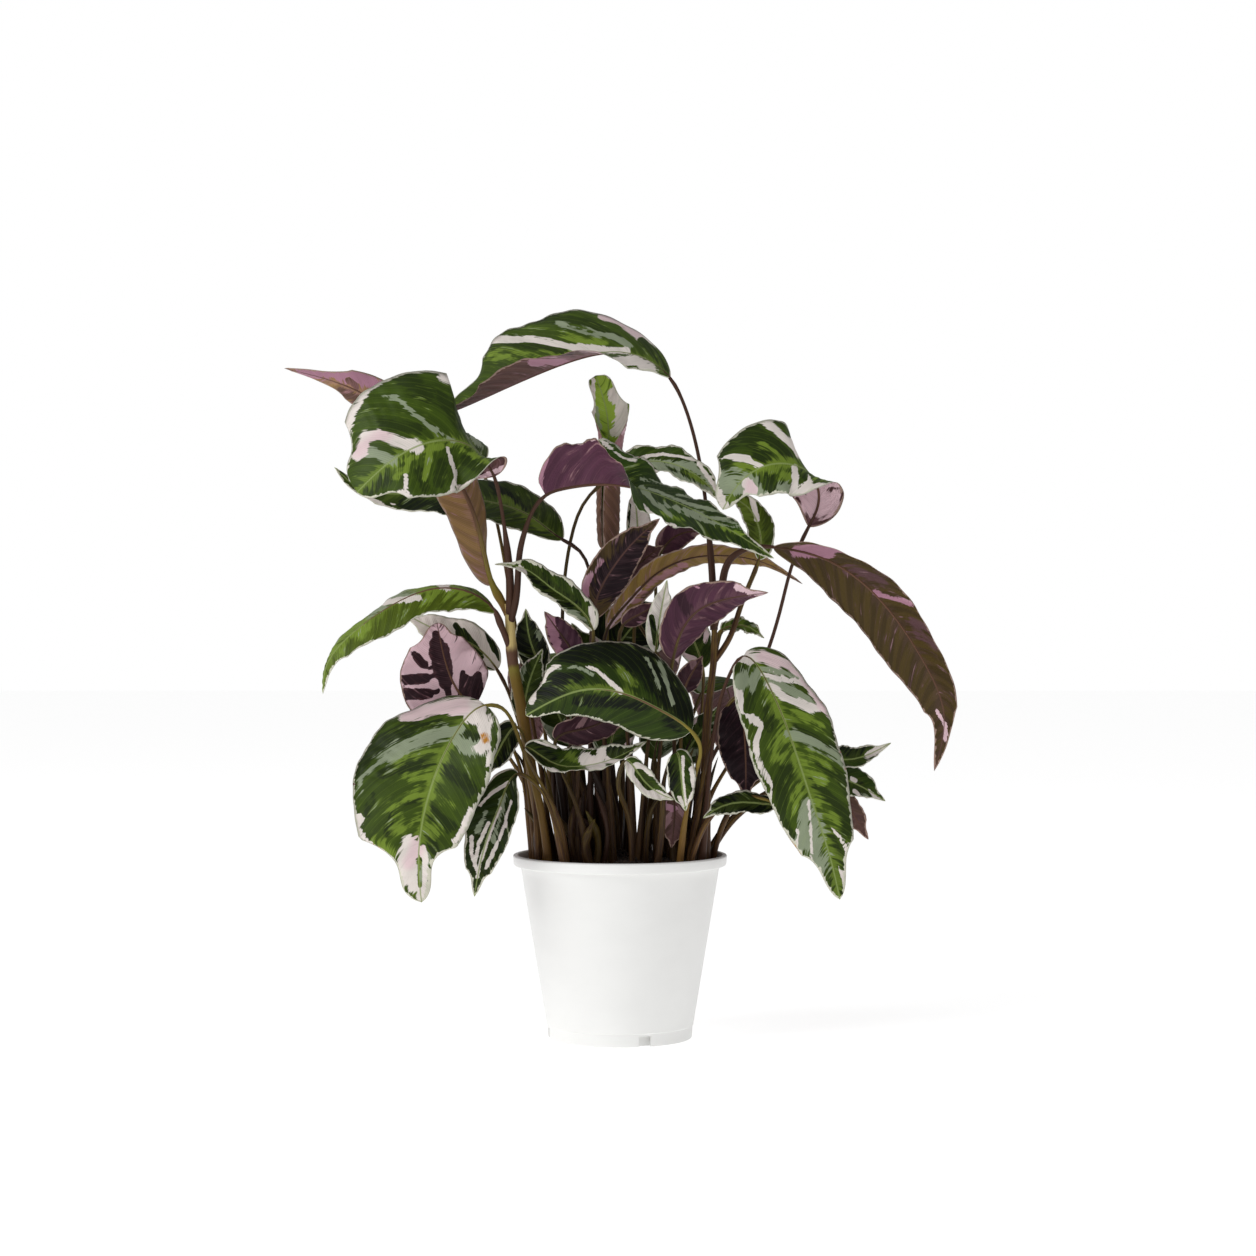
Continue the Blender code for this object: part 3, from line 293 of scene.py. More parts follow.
        stalk=((-10, 200, -20), (-18, 272, -16)),
        rib=((-19, 292, -15), (-16, 308, -15), (-6, 327, -16), (9, 346, -18), (28, 363, -20)),
        faces=((0.4, -0.9, 0), (0.3, -0.9, 0.1), (0.4, -0.8, 0.1)),
        half=(17, 15), lift=(8, 8), curl=(15, 0), wave=(1, 3, 0)),
    "leaf_white_spear": leaf(
        foot=(8, 26),
        stalk=((8, 220, 31), (11, 310, 26)),
        rib=((12, 338, 24), (12, 362, 26), (9, 386, 27)),
        faces=((0, -1, 0), (0, -1, 0)),
        half=(8, 10), lift=(10, 10), size="small"),
    "leaf_violet_back": leaf(
        foot=(17, 40),
        stalk=((20, 220, 37), (25, 312, 32)),
        rib=((28, 338, 30), (42, 352, 32), (60, 354, 32)),
        faces=((0, 1, 0), (0, 1, 0)),
        half=(10, 10), lift=(-5, -5), size="small"),
    "leaf_white_centre": leaf(
        foot=(12, -22),
        stalk=((18, 190, -28), (24, 250, -27)),
        rib=((25, 269, -27), (28, 294, -27), (33, 320, -26)),
        faces=((0, -1, 0), (0, -1, 0.2)),
        half=(9, 9), size="small"),
    "leaf_rolled_dark": leaf(
        foot=(10, -10),
        stalk=((6, 200, -16), (0, 268, -17)),
        rib=((2, 288, -17), (14, 296, -16), (28, 304, -14)),
        faces=((0, 1, 0), (0, 1, 0)),
        half=(8, 8), lift=(30, 30), size="small"),
    "leaf_brown_back": leaf(
        foot=(34, 4),
        stalk=((38, 200, 1), (29, 262, 8), (7, 300, 17)),
        rib=((3, 316, 19), (14, 332, 20), (31, 344, 20)),
        faces=((0.3, 0.9, 0), (0, 1, 0)),
        half=(11, 11), lift=(-5, -5), size="small"),
    "leaf_knot": leaf(
        foot=(38, 16),
        stalk=((42, 190, 10), (43, 228, 4)),
        rib=((44, 240, 2), (50, 254, 1), (58, 267, 1)),
        faces=((0, 1, 0.1), (0, 1, 0)),
        half=(9, 9), lift=(20, 20), size="small"),
    "leaf_under_hero": leaf(
        foot=(-20, -36),
        stalk=((-30, 160, -36), (-44, 196, -34)),
        rib=((-45, 208, -33), (-25, 216, -34), (-5, 224, -34), (14, 232, -33)),
        faces=((0, 0.8, 0.6), (0, 0.9, 0.4)),
        half=(13, 13), lift=(-5, -5), size="small"),
    "leaf_dark_centre": leaf(
        foot=(-14, 30),
        stalk=((-14, 200, 34), (-12, 240, 36)),
        rib=((-10, 256, 38), (0, 276, 42), (14, 292, 44), (32, 304, 44)),
        faces=((0.2, -0.9, 0.2), (0, -0.9, 0.4)),
        half=(24, 24), lift=(5, 5)),
    "leaf_rear_left": leaf(
        foot=(-26, 42),
        stalk=((-32, 190, 50), (-36, 236, 60)),
        rib=((-38, 256, 70), (-44, 268, 88), (-50, 264, 112), (-56, 240, 140), (-60, 204, 158)),
        faces=((0, 0, 1), (-0.2, 0.3, 0.9), (-0.3, 0.9, 0.3)),
        half=(32, 32), lift=(-5, -5), curl=(-12, -12)),
    "leaf_rear_centre": leaf(
        foot=(4, 48),
        stalk=((6, 200, 54), (9, 250, 62)),
        rib=((11, 272, 70), (14, 286, 88), (16, 282, 114), (18, 256, 142), (20, 216, 160)),
        faces=((0, -0.3, 1), (0, 0.3, 0.9), (0, 0.9, 0.3)),
        half=(30, 30), lift=(-5, -5), curl=(-12, -12)),
    "leaf_rear_right": leaf(
        foot=(30, 42),
        stalk=((40, 180, 50), (50, 222, 58)),
        rib=((57, 240, 66), (66, 252, 84), (74, 246, 108), (80, 220, 130), (84, 182, 144)),
        faces=((0, 0, 1), (0.2, 0.3, 0.9), (0.3, 0.9, 0.3)),
        half=(30, 30), lift=(-5, -5), curl=(-12, -12)),
    "leaf_rear_low_left": leaf(
        foot=(-44, 40),
        stalk=((-62, 170, 44), (-88, 210, 54)),
        rib=((-102, 224, 62), (-122, 222, 76), (-138, 204, 88), (-150, 176, 96), (-156, 142, 98)),
        faces=((-0.3, 0, 1), (-0.5, 0.6, 0.7), (-0.4, 0.9, 0.2)),
        half=(28, 28), lift=(-5, -5), curl=(-12, -12)),
    "leaf_rear_low_right": leaf(
        foot=(46, 40),
        stalk=((64, 170, 40), (92, 218, 46)),
        rib=((104, 236, 54), (120, 232, 68), (132, 208, 80), (140, 176, 88), (144, 138, 90)),
        faces=((0.3, 0, 1), (0.5, 0.6, 0.7), (0.4, 0.9, 0.2)),
        half=(26, 26), lift=(-5, -5), curl=(-12, -12)),
    "leaf_rear_high_left": leaf(
        foot=(-46, 8),
        stalk=((-56, 190, 12), (-72, 280, 30), (-84, 350, 54), (-92, 384, 66)),
        rib=((-98, 402, 72), (-112, 424, 82), (-132, 428, 98), (-148, 412, 112), (-156, 384, 120)),
        faces=((0, -0.2, 1), (-0.3, 0.4, 0.9), (-0.5, 0.8, 0.2)),
        half=(28, 28), lift=(-5, -5), curl=(-12, -12)),
}

# Short leaves in the shade of the crown, as (foot, base, tip, half width).
shadeLeaves = (
    ((-28, 22), (-34, 203, 20), (-48, 252, 14), 14),
    ((-2, 20), (-8, 194, 16), (10, 250, 12), 16),
    ((20, 28), (24, 194, 20), (44, 248, 12), 15),
    ((-2, 36), (4, 240, 18), (-34, 290, 17), 15),
    ((34, 30), (44, 188, 22), (70, 232, 14), 12),
    ((50, 28), (58, 258, 34), (46, 312, 32), 13),
    ((-58, -2), (-68, 222, 2), (-54, 272, 6), 11),
)

for number, (foot, base, tip, half) in enumerate(shadeLeaves, 1):
    middle = tuple((a + b) / 2 for a, b in zip(base, tip))
    leafShapes[f"leaf_shade_{number}"] = leaf(
        foot=foot,
        stalk=((0.5 * (foot[0] + base[0]), 165, 0.5 * (foot[1] + base[2])),
               (base[0], base[1] - 16, base[2])),
        rib=(base, (middle[0] - 3, middle[1], middle[2]), tip),
        faces=((0, -0.9, 0.2), (0, -0.9, 0.4)),
        half=(half, half), lift=(12, 12), size="small", radius=0.9)

# The colours of each leaf. A stroke is (reach, place, place, ...), where the front view shows it. drawn is
# how many white and sage sectors are drawn at random besides, tint is (warmth, brightness, strength of the
# veins), where the brightness is partly the leaf's own tone and partly painted light and shade: leaves in
# the shadow of others are made darker and well-lit ones lighter. stalk is how maroon its stalk is, rim is
# how wide its left and right margins are, drip is where its tip narrows and by how much, and a turned leaf
# wears the colours of its faces the other way round.
plainPaint = {"drawn": (4, 3), "tint": (0.3, 0.95, 0.5), "stalk": 0.5, "rim": (0.9, 0.9),
              "drip": (0.8, 0.3), "turned": False}
leafPaint = {
    "leaf_crown": {
        "white": ((3.2, (-105, 485), (-85, 488), (-60, 487), (-40, 483)), (2.2, (-40, 483), (-10, 481),
            (5, 480)), (3.5, (-106, 482), (-98, 478)), (2.8, (-12, 504), (0, 502), (12, 492), (22, 482),
            (30, 469)), (3.6, (-26, 471), (-12, 470), (0, 473), (12, 473), (20, 468)), (2.5, (-62, 472),
            (-45, 473), (-30, 469)), (6, (40, 460), (44, 448))),
        "sage": ((2, (-43, 499), (-25, 494), (-5, 490), (8, 484)), (1.5, (-95, 490), (-72, 491))),
        "dark": ((3, (-20, 498), (0, 488)), (2.5, (-95, 482), (-60, 483), (-35, 478)), (3, (-60, 503),
            (-20, 500)), (2.6, (15, 487), (24, 478), (31, 466))),
        "light": ((3, (-90, 477), (-60, 476), (-35, 475), (-15, 478)), (2.5, (-40, 490), (-10, 485))),
        "lilac": ((5, (-62, 473), (-28, 470)), (8, (40, 460), (44, 448)), (4, (-12, 504), (12, 492))),
        "drawn": (0, 0), "tint": (0.35, 1.25, 0.3), "rim": (1.6, 1), "stalk": 0.9,
    },
    "leaf_left_face": {
        "white": ((4, (-183, 408), (-177, 419), (-167, 421), (-156, 417), (-141, 412)), (2.6, (-193, 400),
            (-192, 418), (-188, 436), (-178, 452), (-165, 462)), (3.2, (-125, 463), (-117, 460),
            (-110, 454), (-103, 446), (-99, 438), (-101, 428), (-104, 422)), (1.6, (-144, 374), (-125, 377),
            (-106, 387), (-95, 393), (-77, 400), (-68, 408)), (2, (-178, 378), (-163, 372)),
            (2.4, (-154, 381), (-144, 375)), (1.2, (-150, 393), (-149, 377)), (1.3, (-121, 412),
            (-115, 393), (-118, 381))),
        "sage": ((4, (-175, 409), (-160, 404)), (1.3, (-165, 448), (-157, 448), (-146, 438), (-133, 427),
            (-116, 417))),
        "dark": ((7, (-150, 460), (-135, 450)), (5, (-125, 448), (-112, 430)), (4, (-166, 430),
            (-140, 425)), (5, (-165, 390), (-175, 384)), (3.5, (-140, 396), (-136, 384)), (4, (-125, 402),
            (-127, 388)), (4, (-108, 404), (-98, 398))),
        "light": ((2.6, (-118, 414), (-133, 412), (-144, 406), (-162, 399)), (2, (-133, 408), (-137, 391)),
            (2, (-146, 404), (-156, 391)), (2, (-112, 412), (-92, 402))),
        "lilac": ((6, (-183, 410), (-165, 421)), (6, (-112, 455), (-99, 438))), "drawn": (0, 0),
        "tint": (0.3, 1.15, 0.6), "rim": (1.4, 1.8), "stalk": 0.9,
    },
    "leaf_left_low": {
        "white": ((5, (-150, 223), (-135, 229), (-120, 233), (-100, 231)), (4, (-118, 230), (-98, 228)),
            (5, (-104, 224), (-95, 222), (-95, 212), (-97, 203)), (1.6, (-92, 203), (-92, 190)),
            (3, (-104, 158), (-108, 148), (-114, 138)), (2.2, (-190, 160), (-184, 145), (-176, 134)),
            (1.2, (-182, 155), (-178, 146)), (7, (-146, 134), (-149, 122), (-146, 110)), (3, (-138, 132),
            (-137, 114), (-139, 98)), (1.6, (-129, 122), (-134, 106), (-139, 97))),
        "sage": ((4, (-112, 215), (-125, 211), (-140, 207)), (4.5, (-140, 207), (-155, 201), (-168, 193)),
            (2.2, (-168, 193), (-180, 182), (-186, 170)), (4.5, (-112, 208), (-105, 202), (-98, 201)),
            (3, (-135, 128), (-137, 112))),
        "dark": ((6, (-150, 214), (-165, 208), (-177, 198), (-186, 185)), (2.4, (-125, 220), (-142, 218)),
            (3.5, (-168, 184), (-148, 189), (-130, 193)), (3.5, (-152, 164), (-141, 167), (-133, 172)),
            (5, (-123, 189), (-112, 181), (-104, 172)), (4.5, (-133, 158), (-125, 152), (-118, 147)),
            (3.5, (-133, 140), (-130, 130)), (2.5, (-160, 157), (-163, 142)), (2.5, (-178, 156),
            (-173, 170)), (4, (-112, 214), (-102, 209)), (1.4, (-140, 124), (-140, 106))),
        "light": ((3, (-118, 205), (-126, 190), (-132, 175), (-137, 160), (-139, 148)), (3.5, (-130, 185),
            (-147, 180)), (3.5, (-134, 172), (-148, 168), (-158, 158)), (5, (-140, 155), (-152, 146)),
            (3, (-122, 200), (-140, 199), (-158, 193)), (3.5, (-128, 170), (-118, 162)), (3.5, (-137, 150),
            (-128, 142)), (4, (-170, 136), (-160, 128))),
        "burnt": ((2.2, (-95, 211), (-94, 207)), (1.8, (-172, 133), (-165, 127))),
        "lilac": ((6, (-148, 224), (-110, 232)), (5, (-140, 138), (-147, 122))), "drawn": (0, 0),
        "tint": (0.35, 1.05, 0.6), "rim": (2.2, 1.3), "drip": (0.74, 0.52), "stalk": 0.3,
    },
    "leaf_left_small": {
        "white": ((1, (-78, 178), (-90, 170), (-98, 162)), (1.1, (-84, 160), (-90, 145), (-97, 125),
            (-100, 112)), (1.1, (-92, 150), (-99, 135), (-102, 120)), (1.2, (-80, 150), (-86, 135),
            (-94, 118)), (1.2, (-104, 140), (-104, 128), (-100, 116)), (0.9, (-76, 165), (-80, 152))),
        "sage": ((2.2, (-82, 168), (-85, 150), (-88, 138)), (2, (-94, 158), (-100, 145))), "drawn": (0, 0),
        "tint": (0.1, 0.5, 0.1), "rim": (1, 1.2),
    },
    "leaf_centre": {
        "white": ((1.8, (-62, 234), (-57, 247), (-46, 259), (-30, 263)), (1.5, (-30, 263), (-17, 257),
            (-5, 247), (1, 241))),
        "sage": ((1.4, (28, 262), (33, 247), (37, 233)), (1, (18, 268), (28, 246)), (1.2, (-46, 257),
            (-30, 259), (-18, 253))),
        "dark": ((11, (-35, 272), (-10, 274), (15, 264), (30, 247), (42, 225)), (5, (-45, 250), (-30, 252)),
            (4, (-54, 240), (-42, 242)), (4, (-30, 236), (-5, 235), (20, 232))),
        "light": ((2.6, (-35, 245), (-10, 244), (10, 240)), (2, (0, 256), (12, 246))), "drawn": (0, 0),
        "tint": (0.15, 0.72, 0.1), "rim": (1.5, 1.2), "stalk": 0.3,
    },
    "leaf_cupped": {
        "white": ((2, (-70, 206), (-68, 196), (-62, 192), (-52, 188), (-42, 183), (-30, 183), (-20, 185)),
            (5, (-24, 195), (-15, 190)), (4, (-14, 203), (-12, 197)), (1.3, (-12, 207), (0, 207),
            (18, 208)), (1.5, (-10, 193), (3, 193), (12, 201)), (1, (-60, 207), (-45, 202))),
        "dark": ((6, (-62, 200), (-50, 196)), (4, (-5, 200), (5, 199))),
        "light": ((3, (-35, 197), (-25, 191)),), "drawn": (0, 0), "tint": (0.1, 0.75, 0.2),
        "rim": (1.6, 1.6),
    },
    "leaf_front_curl": {
        "white": ((3, (5, 190), (12, 176), (20, 171), (36, 167)), (2.5, (12, 190), (25, 184), (35, 172))),
        "dark": ((3.2, (14, 184), (20, 176)),), "drawn": (0, 0), "tint": (0.1, 0.8, 0.2),
    },
    "leaf_front_tip": {
        "white": ((1, (44, 196), (44, 178), (46, 163)), (1.3, (38, 172), (45, 162)), (1.5, (50, 188),
            (52, 172), (48, 163))), "dark": ((6, (35, 188), (37, 175)),), "drawn": (0, 0),
        "tint": (0.1, 0.75, 0.2),
    },
    "leaf_front_droop": {
        "white": ((2, (28, 162), (38, 160)),), "lilac": ((20, (34, 150), (36, 150)),), "drawn": (1, 2),
        "tint": (0.4, 1.1, 0.3),
    },
    "leaf_right_low": {
        "white": ((4, (70, 266), (85, 265), (100, 266), (118, 260), (128, 254)), (3.5, (128, 254),
            (135, 242), (147, 226)), (2.4, (147, 226), (156, 212), (161, 197), (165, 180)),
            (2.5, (105, 246), (115, 238), (130, 231), (141, 229)), (1.8, (100, 254), (115, 250),
            (130, 247)), (2.2, (69, 262), (70, 252), (76, 244), (84, 239)), (2.4, (84, 240), (86, 230),
            (92, 223), (99, 218)), (1.8, (98, 216), (95, 206), (97, 193), (102, 183), (107, 175)),
            (1.3, (107, 175), (105, 165), (104, 155)), (1.2, (165, 180), (168, 165), (168, 150),
            (165, 130)), (0.8, (132, 165), (134, 140), (134, 120)), (1.2, (124, 145), (123, 132),
            (128, 122)), (1.5, (140, 150), (150, 143), (158, 133), (161, 120)), (1.6, (131, 115),
            (140, 109), (150, 101)), (1.6, (156, 116), (157, 108), (155, 98)), (1, (152, 122), (155, 112)),
            (1.2, (158, 198), (163, 186))),
        "sage": ((6, (78, 250), (88, 246), (94, 252)), (3.5, (100, 256), (115, 256), (125, 252)),
            (4, (105, 248), (120, 243), (135, 232)), (3.2, (119, 213), (130, 208), (145, 200), (156, 193),
            (161, 186)), (4.5, (131, 162), (130, 150), (128, 135)), (6, (136, 150), (137, 135),
            (138, 118))),
        "dark": ((3.5, (74, 258), (84, 258)), (4, (104, 228), (105, 217)), (5, (117, 189), (112, 175),
            (113, 163)), (3, (118, 218), (130, 213), (140, 207), (150, 201)), (3, (150, 216), (154, 203)),
            (3.5, (140, 191), (154, 183), (160, 172)), (5, (132, 178), (145, 168), (158, 155), (160, 145)),
            (3, (142, 148), (150, 137), (157, 120)), (4, (146, 130), (150, 112), (153, 100)),
            (3, (112, 160), (115, 150), (121, 140)), (3.5, (92, 240), (90, 230))),
        "light": ((2.6, (105, 240), (110, 228), (116, 212), (122, 195), (128, 180)), (4, (112, 214),
            (107, 204)), (4, (118, 200), (111, 195)), (3.5, (130, 200), (145, 193)), (3.5, (128, 190),
            (141, 180)), (3.5, (125, 175), (121, 160)), (4, (138, 165), (151, 150)), (2.5, (122, 228),
            (140, 218))),
        "burnt": ((2.6, (110, 143), (118, 135), (124, 126)), (1.3, (103, 165), (102, 156)),
            (1.2, (167, 145), (164, 132))),
        "lilac": ((5, (100, 266), (128, 255)), (4, (130, 250), (146, 228))), "drawn": (0, 0),
        "tint": (0.35, 1.15, 0.6), "rim": (1.4, 1.4), "stalk": 0.8,
    },
    "leaf_right_face": {
        "white": ((1.8, (68, 423), (82, 431), (92, 436)), (2.3, (94, 434), (102, 430), (112, 422),
            (122, 412), (131, 403)), (4, (122, 416), (127, 409)), (2.6, (62, 396), (66, 403), (75, 407),
            (88, 405), (98, 401)), (3, (63, 395), (65, 385), (70, 378), (74, 370)), (3.2, (89, 388),
            (93, 384), (90, 380)), (2, (94, 377), (105, 374), (118, 377), (128, 382)), (2.2, (122, 398),
            (123, 388), (120, 380)), (1.5, (128, 385), (140, 386), (155, 387)), (2.2, (131, 392),
            (131, 384)), (9, (134, 374), (146, 374))),
        "sage": ((4.5, (70, 390), (82, 392), (91, 390)), (3, (72, 383), (85, 383)), (3.2, (97, 383),
            (99, 379)), (3.5, (115, 384), (117, 379))),
        "dark": ((7, (68, 412), (80, 420), (92, 422), (102, 412)), (3.5, (105, 418), (118, 407)),
            (3, (66, 396), (74, 401)), (3, (100, 395), (98, 388)), (3.5, (105, 392), (104, 380)),
            (3, (113, 388), (110, 380)), (2.2, (127, 399), (129, 391)), (3, (95, 406), (108, 402))),
        "light": ((3.5, (85, 399), (100, 397), (110, 402), (122, 402)), (3.5, (112, 394), (118, 392)),
            (3.5, (135, 396), (146, 392)), (2.5, (100, 415), (108, 410))),
        "lilac": ((5, (92, 386), (92, 380)),), "drawn": (0, 0), "tint": (0.3, 1.1, 0.5), "rim": (1.5, 1.5),
        "stalk": 0.9,
    },
    "leaf_right_back": {
        "white": ((1.5, (92, 378), (96, 362)),), "light": ((6, (84, 372), (86, 362)),), "drawn": (0, 0),
        "tint": (0.8, 0.9, 0.5),
    },
    "leaf_centre_drape": {
        "white": ((1.2, (9, 392), (13, 380), (20, 368), (28, 360), (45, 356), (60, 353)), (1.2, (60, 354),
            (72, 343), (90, 335)), (1.2, (85, 363), (97, 355), (104, 342), (111, 334)), (2.5, (-57, 380),
            (-56, 395), (-52, 406)), (1.1, (-48, 414), (-38, 421), (-30, 415), (-24, 416), (-17, 421),
            (-8, 413), (2, 406), (12, 403))),
        "sage": ((1, (20, 384), (45, 374), (75, 366), (92, 360)), (1, (15, 390), (40, 385), (70, 373)),
            (1.4, (30, 372), (55, 366), (85, 358)), (0.9, (40, 368), (60, 361), (92, 354)), (1.1, (40, 380),
            (60, 376), (75, 370)), (1.6, (15, 385), (24, 374), (36, 365))),
        "dark": ((12, (15, 388), (50, 376), (75, 366)), (5, (45, 360), (78, 350), (95, 342))),
        "light": ((2, (30, 367), (45, 361)), (1.6, (70, 357), (85, 352))),
        "lilac": ((5, (-57, 380), (-55, 395), (-50, 410)), (3, (-30, 384), (-8, 385), (10, 380))),
        "drawn": (0, 0), "tint": (0.0, 1.3, 0.1), "rim": (1.3, 1), "stalk": 0.95,
    },
    "leaf_centre_back": {
        "white": ((1.1, (12, 405), (30, 408), (52, 404)), (1.1, (25, 396), (40, 387), (55, 379), (72, 372)),
            (1.3, (55, 401), (63, 390), (70, 380), (76, 369))),
        "sage": ((2.6, (13, 403), (35, 400), (52, 398)), (2.6, (28, 397), (45, 390), (62, 380)),
            (2, (50, 400), (60, 392), (68, 381))),
        "dark": ((1.5, (22, 404), (40, 404), (52, 401)), (1.3, (30, 398), (48, 393), (60, 384)),
            (1.2, (36, 390), (52, 382), (66, 375))), "light": ((2, (45, 396), (58, 388)),), "drawn": (0, 0),
        "tint": (0.2, 1.05, 0.2), "rim": (1.3, 1.3),
    },
    "leaf_left_mid": {
        "white": ((1, (-170, 373), (-150, 367), (-130, 364), (-110, 367)), (0.8, (-160, 373), (-130, 370),
            (-112, 372)), (1.6, (-199, 398), (-197, 386), (-192, 375)), (1.6, (-176, 377), (-165, 371))),
        "dark": ((6, (-150, 372), (-115, 370)), (4, (-88, 386), (-60, 362))),
        "light": ((3, (-82, 378), (-55, 356)),), "drawn": (0, 0), "tint": (0.35, 0.85, 0.3), "stalk": 0.8,
    },
    "leaf_left_high": {
        "white": ((5, (-222, 467), (-200, 466), (-175, 459), (-165, 452)),),
        "dark": ((3, (-195, 452), (-180, 445)), (2, (-190, 460), (-184, 455))),
        "lilac": ((14, (-225, 468), (-165, 455)),), "drawn": (0, 0), "tint": (0.75, 2.7, 0.2), "stalk": 0.2,
    },
    "leaf_left_arch": {
        "white": ((3, (-140, 322), (-130, 320), (-122, 315)), (2, (-108, 321), (-98, 316)), (2, (-165, 304),
            (-150, 306), (-140, 307)), (1, (-206, 277), (-198, 281))),
        "sage": ((3, (-160, 306), (-145, 308)), (3, (-182, 296), (-165, 301)), (2.5, (-206, 270),
            (-195, 284))), "dark": ((2, (-128, 322), (-105, 313)),),
        "light": ((8, (-140, 313), (-110, 314)), (6, (-202, 272), (-180, 292))), "drawn": (0, 0),
        "tint": (0.9, 1.2, 0.4), "stalk": 0.9,
    },
    "leaf_left_turned": {
        "white": ((40, (-125, 250), (-120, 245)),),
        "dark": ((2.2, (-129, 282), (-120, 240)), (4.6, (-128, 275), (-122, 248)), (6.3, (-126.5, 270),
            (-123.5, 255)), (1.4, (-145, 269), (-134, 258)), (2.6, (-142, 266), (-138, 261)),
            (1.5, (-154, 251), (-142, 249), (-130, 253)), (3.3, (-149, 250), (-136, 251)),
            (1.5, (-156, 240), (-142, 239), (-127, 242)), (3.6, (-151, 240), (-134, 240)),
            (1.8, (-112, 236), (-110, 255)), (3.6, (-109, 240), (-108, 250)), (3.6, (-101, 240),
            (-101, 250)), (1.8, (-97, 236), (-99, 254))), "drawn": (0, 0), "tint": (0.2, 1.0, 0.1),
    },
    "leaf_left_blotched": {
        "white": ((50, (-120, 275), (-110, 275)),),
        "dark": ((2, (-115, 288), (-105, 274), (-95, 258)), (4.4, (-111, 282), (-100, 267)),
            (1.6, (-112, 262), (-98, 260), (-90, 256)), (1.2, (-94, 284), (-84, 264)), (2.3, (-91, 279),
            (-87, 271)), (1.2, (-153, 289), (-140, 279)), (0.8, (-148, 292), (-140, 280)),
            (0.8, (-120, 275), (-105, 265))), "drawn": (0, 0), "tint": (0.1, 0.9, 0.1),
    },
    "leaf_right_arch": {
        "white": ((4, (124, 341), (135, 340), (146, 339)), (1.6, (145, 342), (165, 340), (181, 335),
            (196, 323)), (1.6, (178, 311), (190, 308), (202, 304), (212, 300)), (1.5, (212, 301),
            (221, 290)), (1.2, (222, 228), (228, 218), (228, 208))),
        "light": ((3, (160, 328), (185, 320)), (4, (205, 290), (222, 275))),
        "lilac": ((10, (122, 342), (200, 328)), (6, (178, 312), (221, 290))), "drawn": (0, 0),
        "tint": (1.0, 0.62, 0.2), "stalk": 0.7,
    },
    "leaf_right_shade": {
        "white": ((1, (68, 222), (78, 225), (88, 228)), (1.2, (72, 186), (86, 195), (98, 196))),
        "dark": ((30, (80, 205), (92, 205)),), "lilac": ((40, (80, 205), (92, 205)),), "drawn": (0, 0),
        "tint": (0.0, 0.62, 0.1),
    },
    "leaf_right_front": {
        "white": ((0.8, (68, 168), (85, 171), (104, 167)), (0.8, (80, 162), (102, 163)), (1, (60, 153),
            (70, 149), (88, 151))), "dark": ((14, (72, 158), (98, 160)),), "drawn": (0, 1),
        "tint": (0.2, 0.75, 0.2),
    },
    "leaf_far_right_high": {
        "white": ((2.6, (166, 206), (175, 209), (190, 207)), (3, (174, 197), (183, 203)), (0.9, (150, 221),
            (164, 196))), "dark": ((6, (150, 214), (162, 200)), (2.2, (165, 195), (172, 203), (180, 207))),
        "drawn": (0, 0), "tint": (0.1, 0.85, 0.2),
    },
    "leaf_far_right_low": {
        "white": ((1.4, (162, 181), (181, 166)), (1.6, (164, 172), (176, 166))),
        "dark": ((3, (168, 176), (173, 167)),), "drawn": (1, 1), "tint": (0.1, 0.85, 0.2),
    },
    "leaf_far_right_under": {"drawn": (0, 1), "tint": (0.5, 0.9, 0.2)},
    "leaf_purple": {
        "white": ((3.4, (84, 315), (95, 313), (105, 311)), (0.9, (44, 320), (56, 314))),
        "dark": ((4, (41, 310), (48, 298)), (1.8, (62, 303), (76, 307))),
        "lilac": ((12, (50, 315), (60, 290)),), "drawn": (0, 0), "tint": (0.0, 1.15, 0.3),
    },
    "leaf_olive": {
        "white": ((1.6, (-10, 284), (4, 302), (14, 314)),), "light": ((2, (8, 304), (25, 320), (45, 331)),),
        "dark": ((2, (16, 308), (44, 326), (75, 330)),), "drawn": (0, 0), "tint": (1.0, 2.5, 0.1),
        "stalk": 0.6,
    },
    "leaf_scroll": {
        "white": ((1.4, (-19, 460), (-19, 425)), (4, (-5, 450), (1, 444), (2, 434), (-2, 424))),
        "light": ((26, (-14, 450), (-6, 424)),), "sage": ((1.2, (-17, 440), (-14, 425)),),
        "dark": ((0.6, (-16, 454), (-12, 442), (-7, 430)), (0.5, (-8, 444), (-8, 432))), "drawn": (0, 0),
        "tint": (0.5, 2.0, 0.3), "stalk": 0.1,
    },
    "leaf_dark_spear": {
        "white": ((3, (-27, 302), (-23, 318), (-12, 332), (0, 342)),),
        "dark": ((14, (-5, 318), (14, 340)),), "lilac": ((9, (-27, 302), (0, 342)),), "drawn": (0, 0),
        "tint": (0.9, 0.7, 0.1), "turned": True,
    },
    "leaf_pale_curl": {
        "white": ((3, (-70, 327), (-58, 312), (-45, 294), (-22, 282)), (2, (-20, 300), (-18, 288))),
        "dark": ((5, (-60, 322), (-45, 310), (-30, 300)), (3, (-40, 300), (-28, 290))), "drawn": (0, 1),
        "tint": (0.2, 0.8, 0.2), "rim": (2, 2),
    },
    "leaf_white_centre": {
        "white": ((30, (20, 290), (26, 300)),),
        "dark": ((1.8, (22, 294), (25, 276)), (0.8, (30, 290), (26, 272))), "drawn": (0, 0),
        "tint": (0.2, 0.85, 0.1),
    },
    "leaf_white_spear": {
        "white": ((30, (8, 360), (12, 360)),), "dark": ((1.6, (6, 372), (5, 356)),),
        "light": ((3, (18, 368), (20, 360)),), "drawn": (0, 0), "tint": (0.2, 0.88, 0.1),
    },
    "leaf_dark_centre": {"dark": ((40, (0, 280), (10, 280)),), "drawn": (0, 2), "tint": (0.5, 0.6, 0.2)},
    "leaf_dark_back": {"dark": ((40, (-60, 275), (-60, 270)),), "drawn": (1, 1), "tint": (0.2, 0.55, 0.2)},
    "leaf_left_shade": {
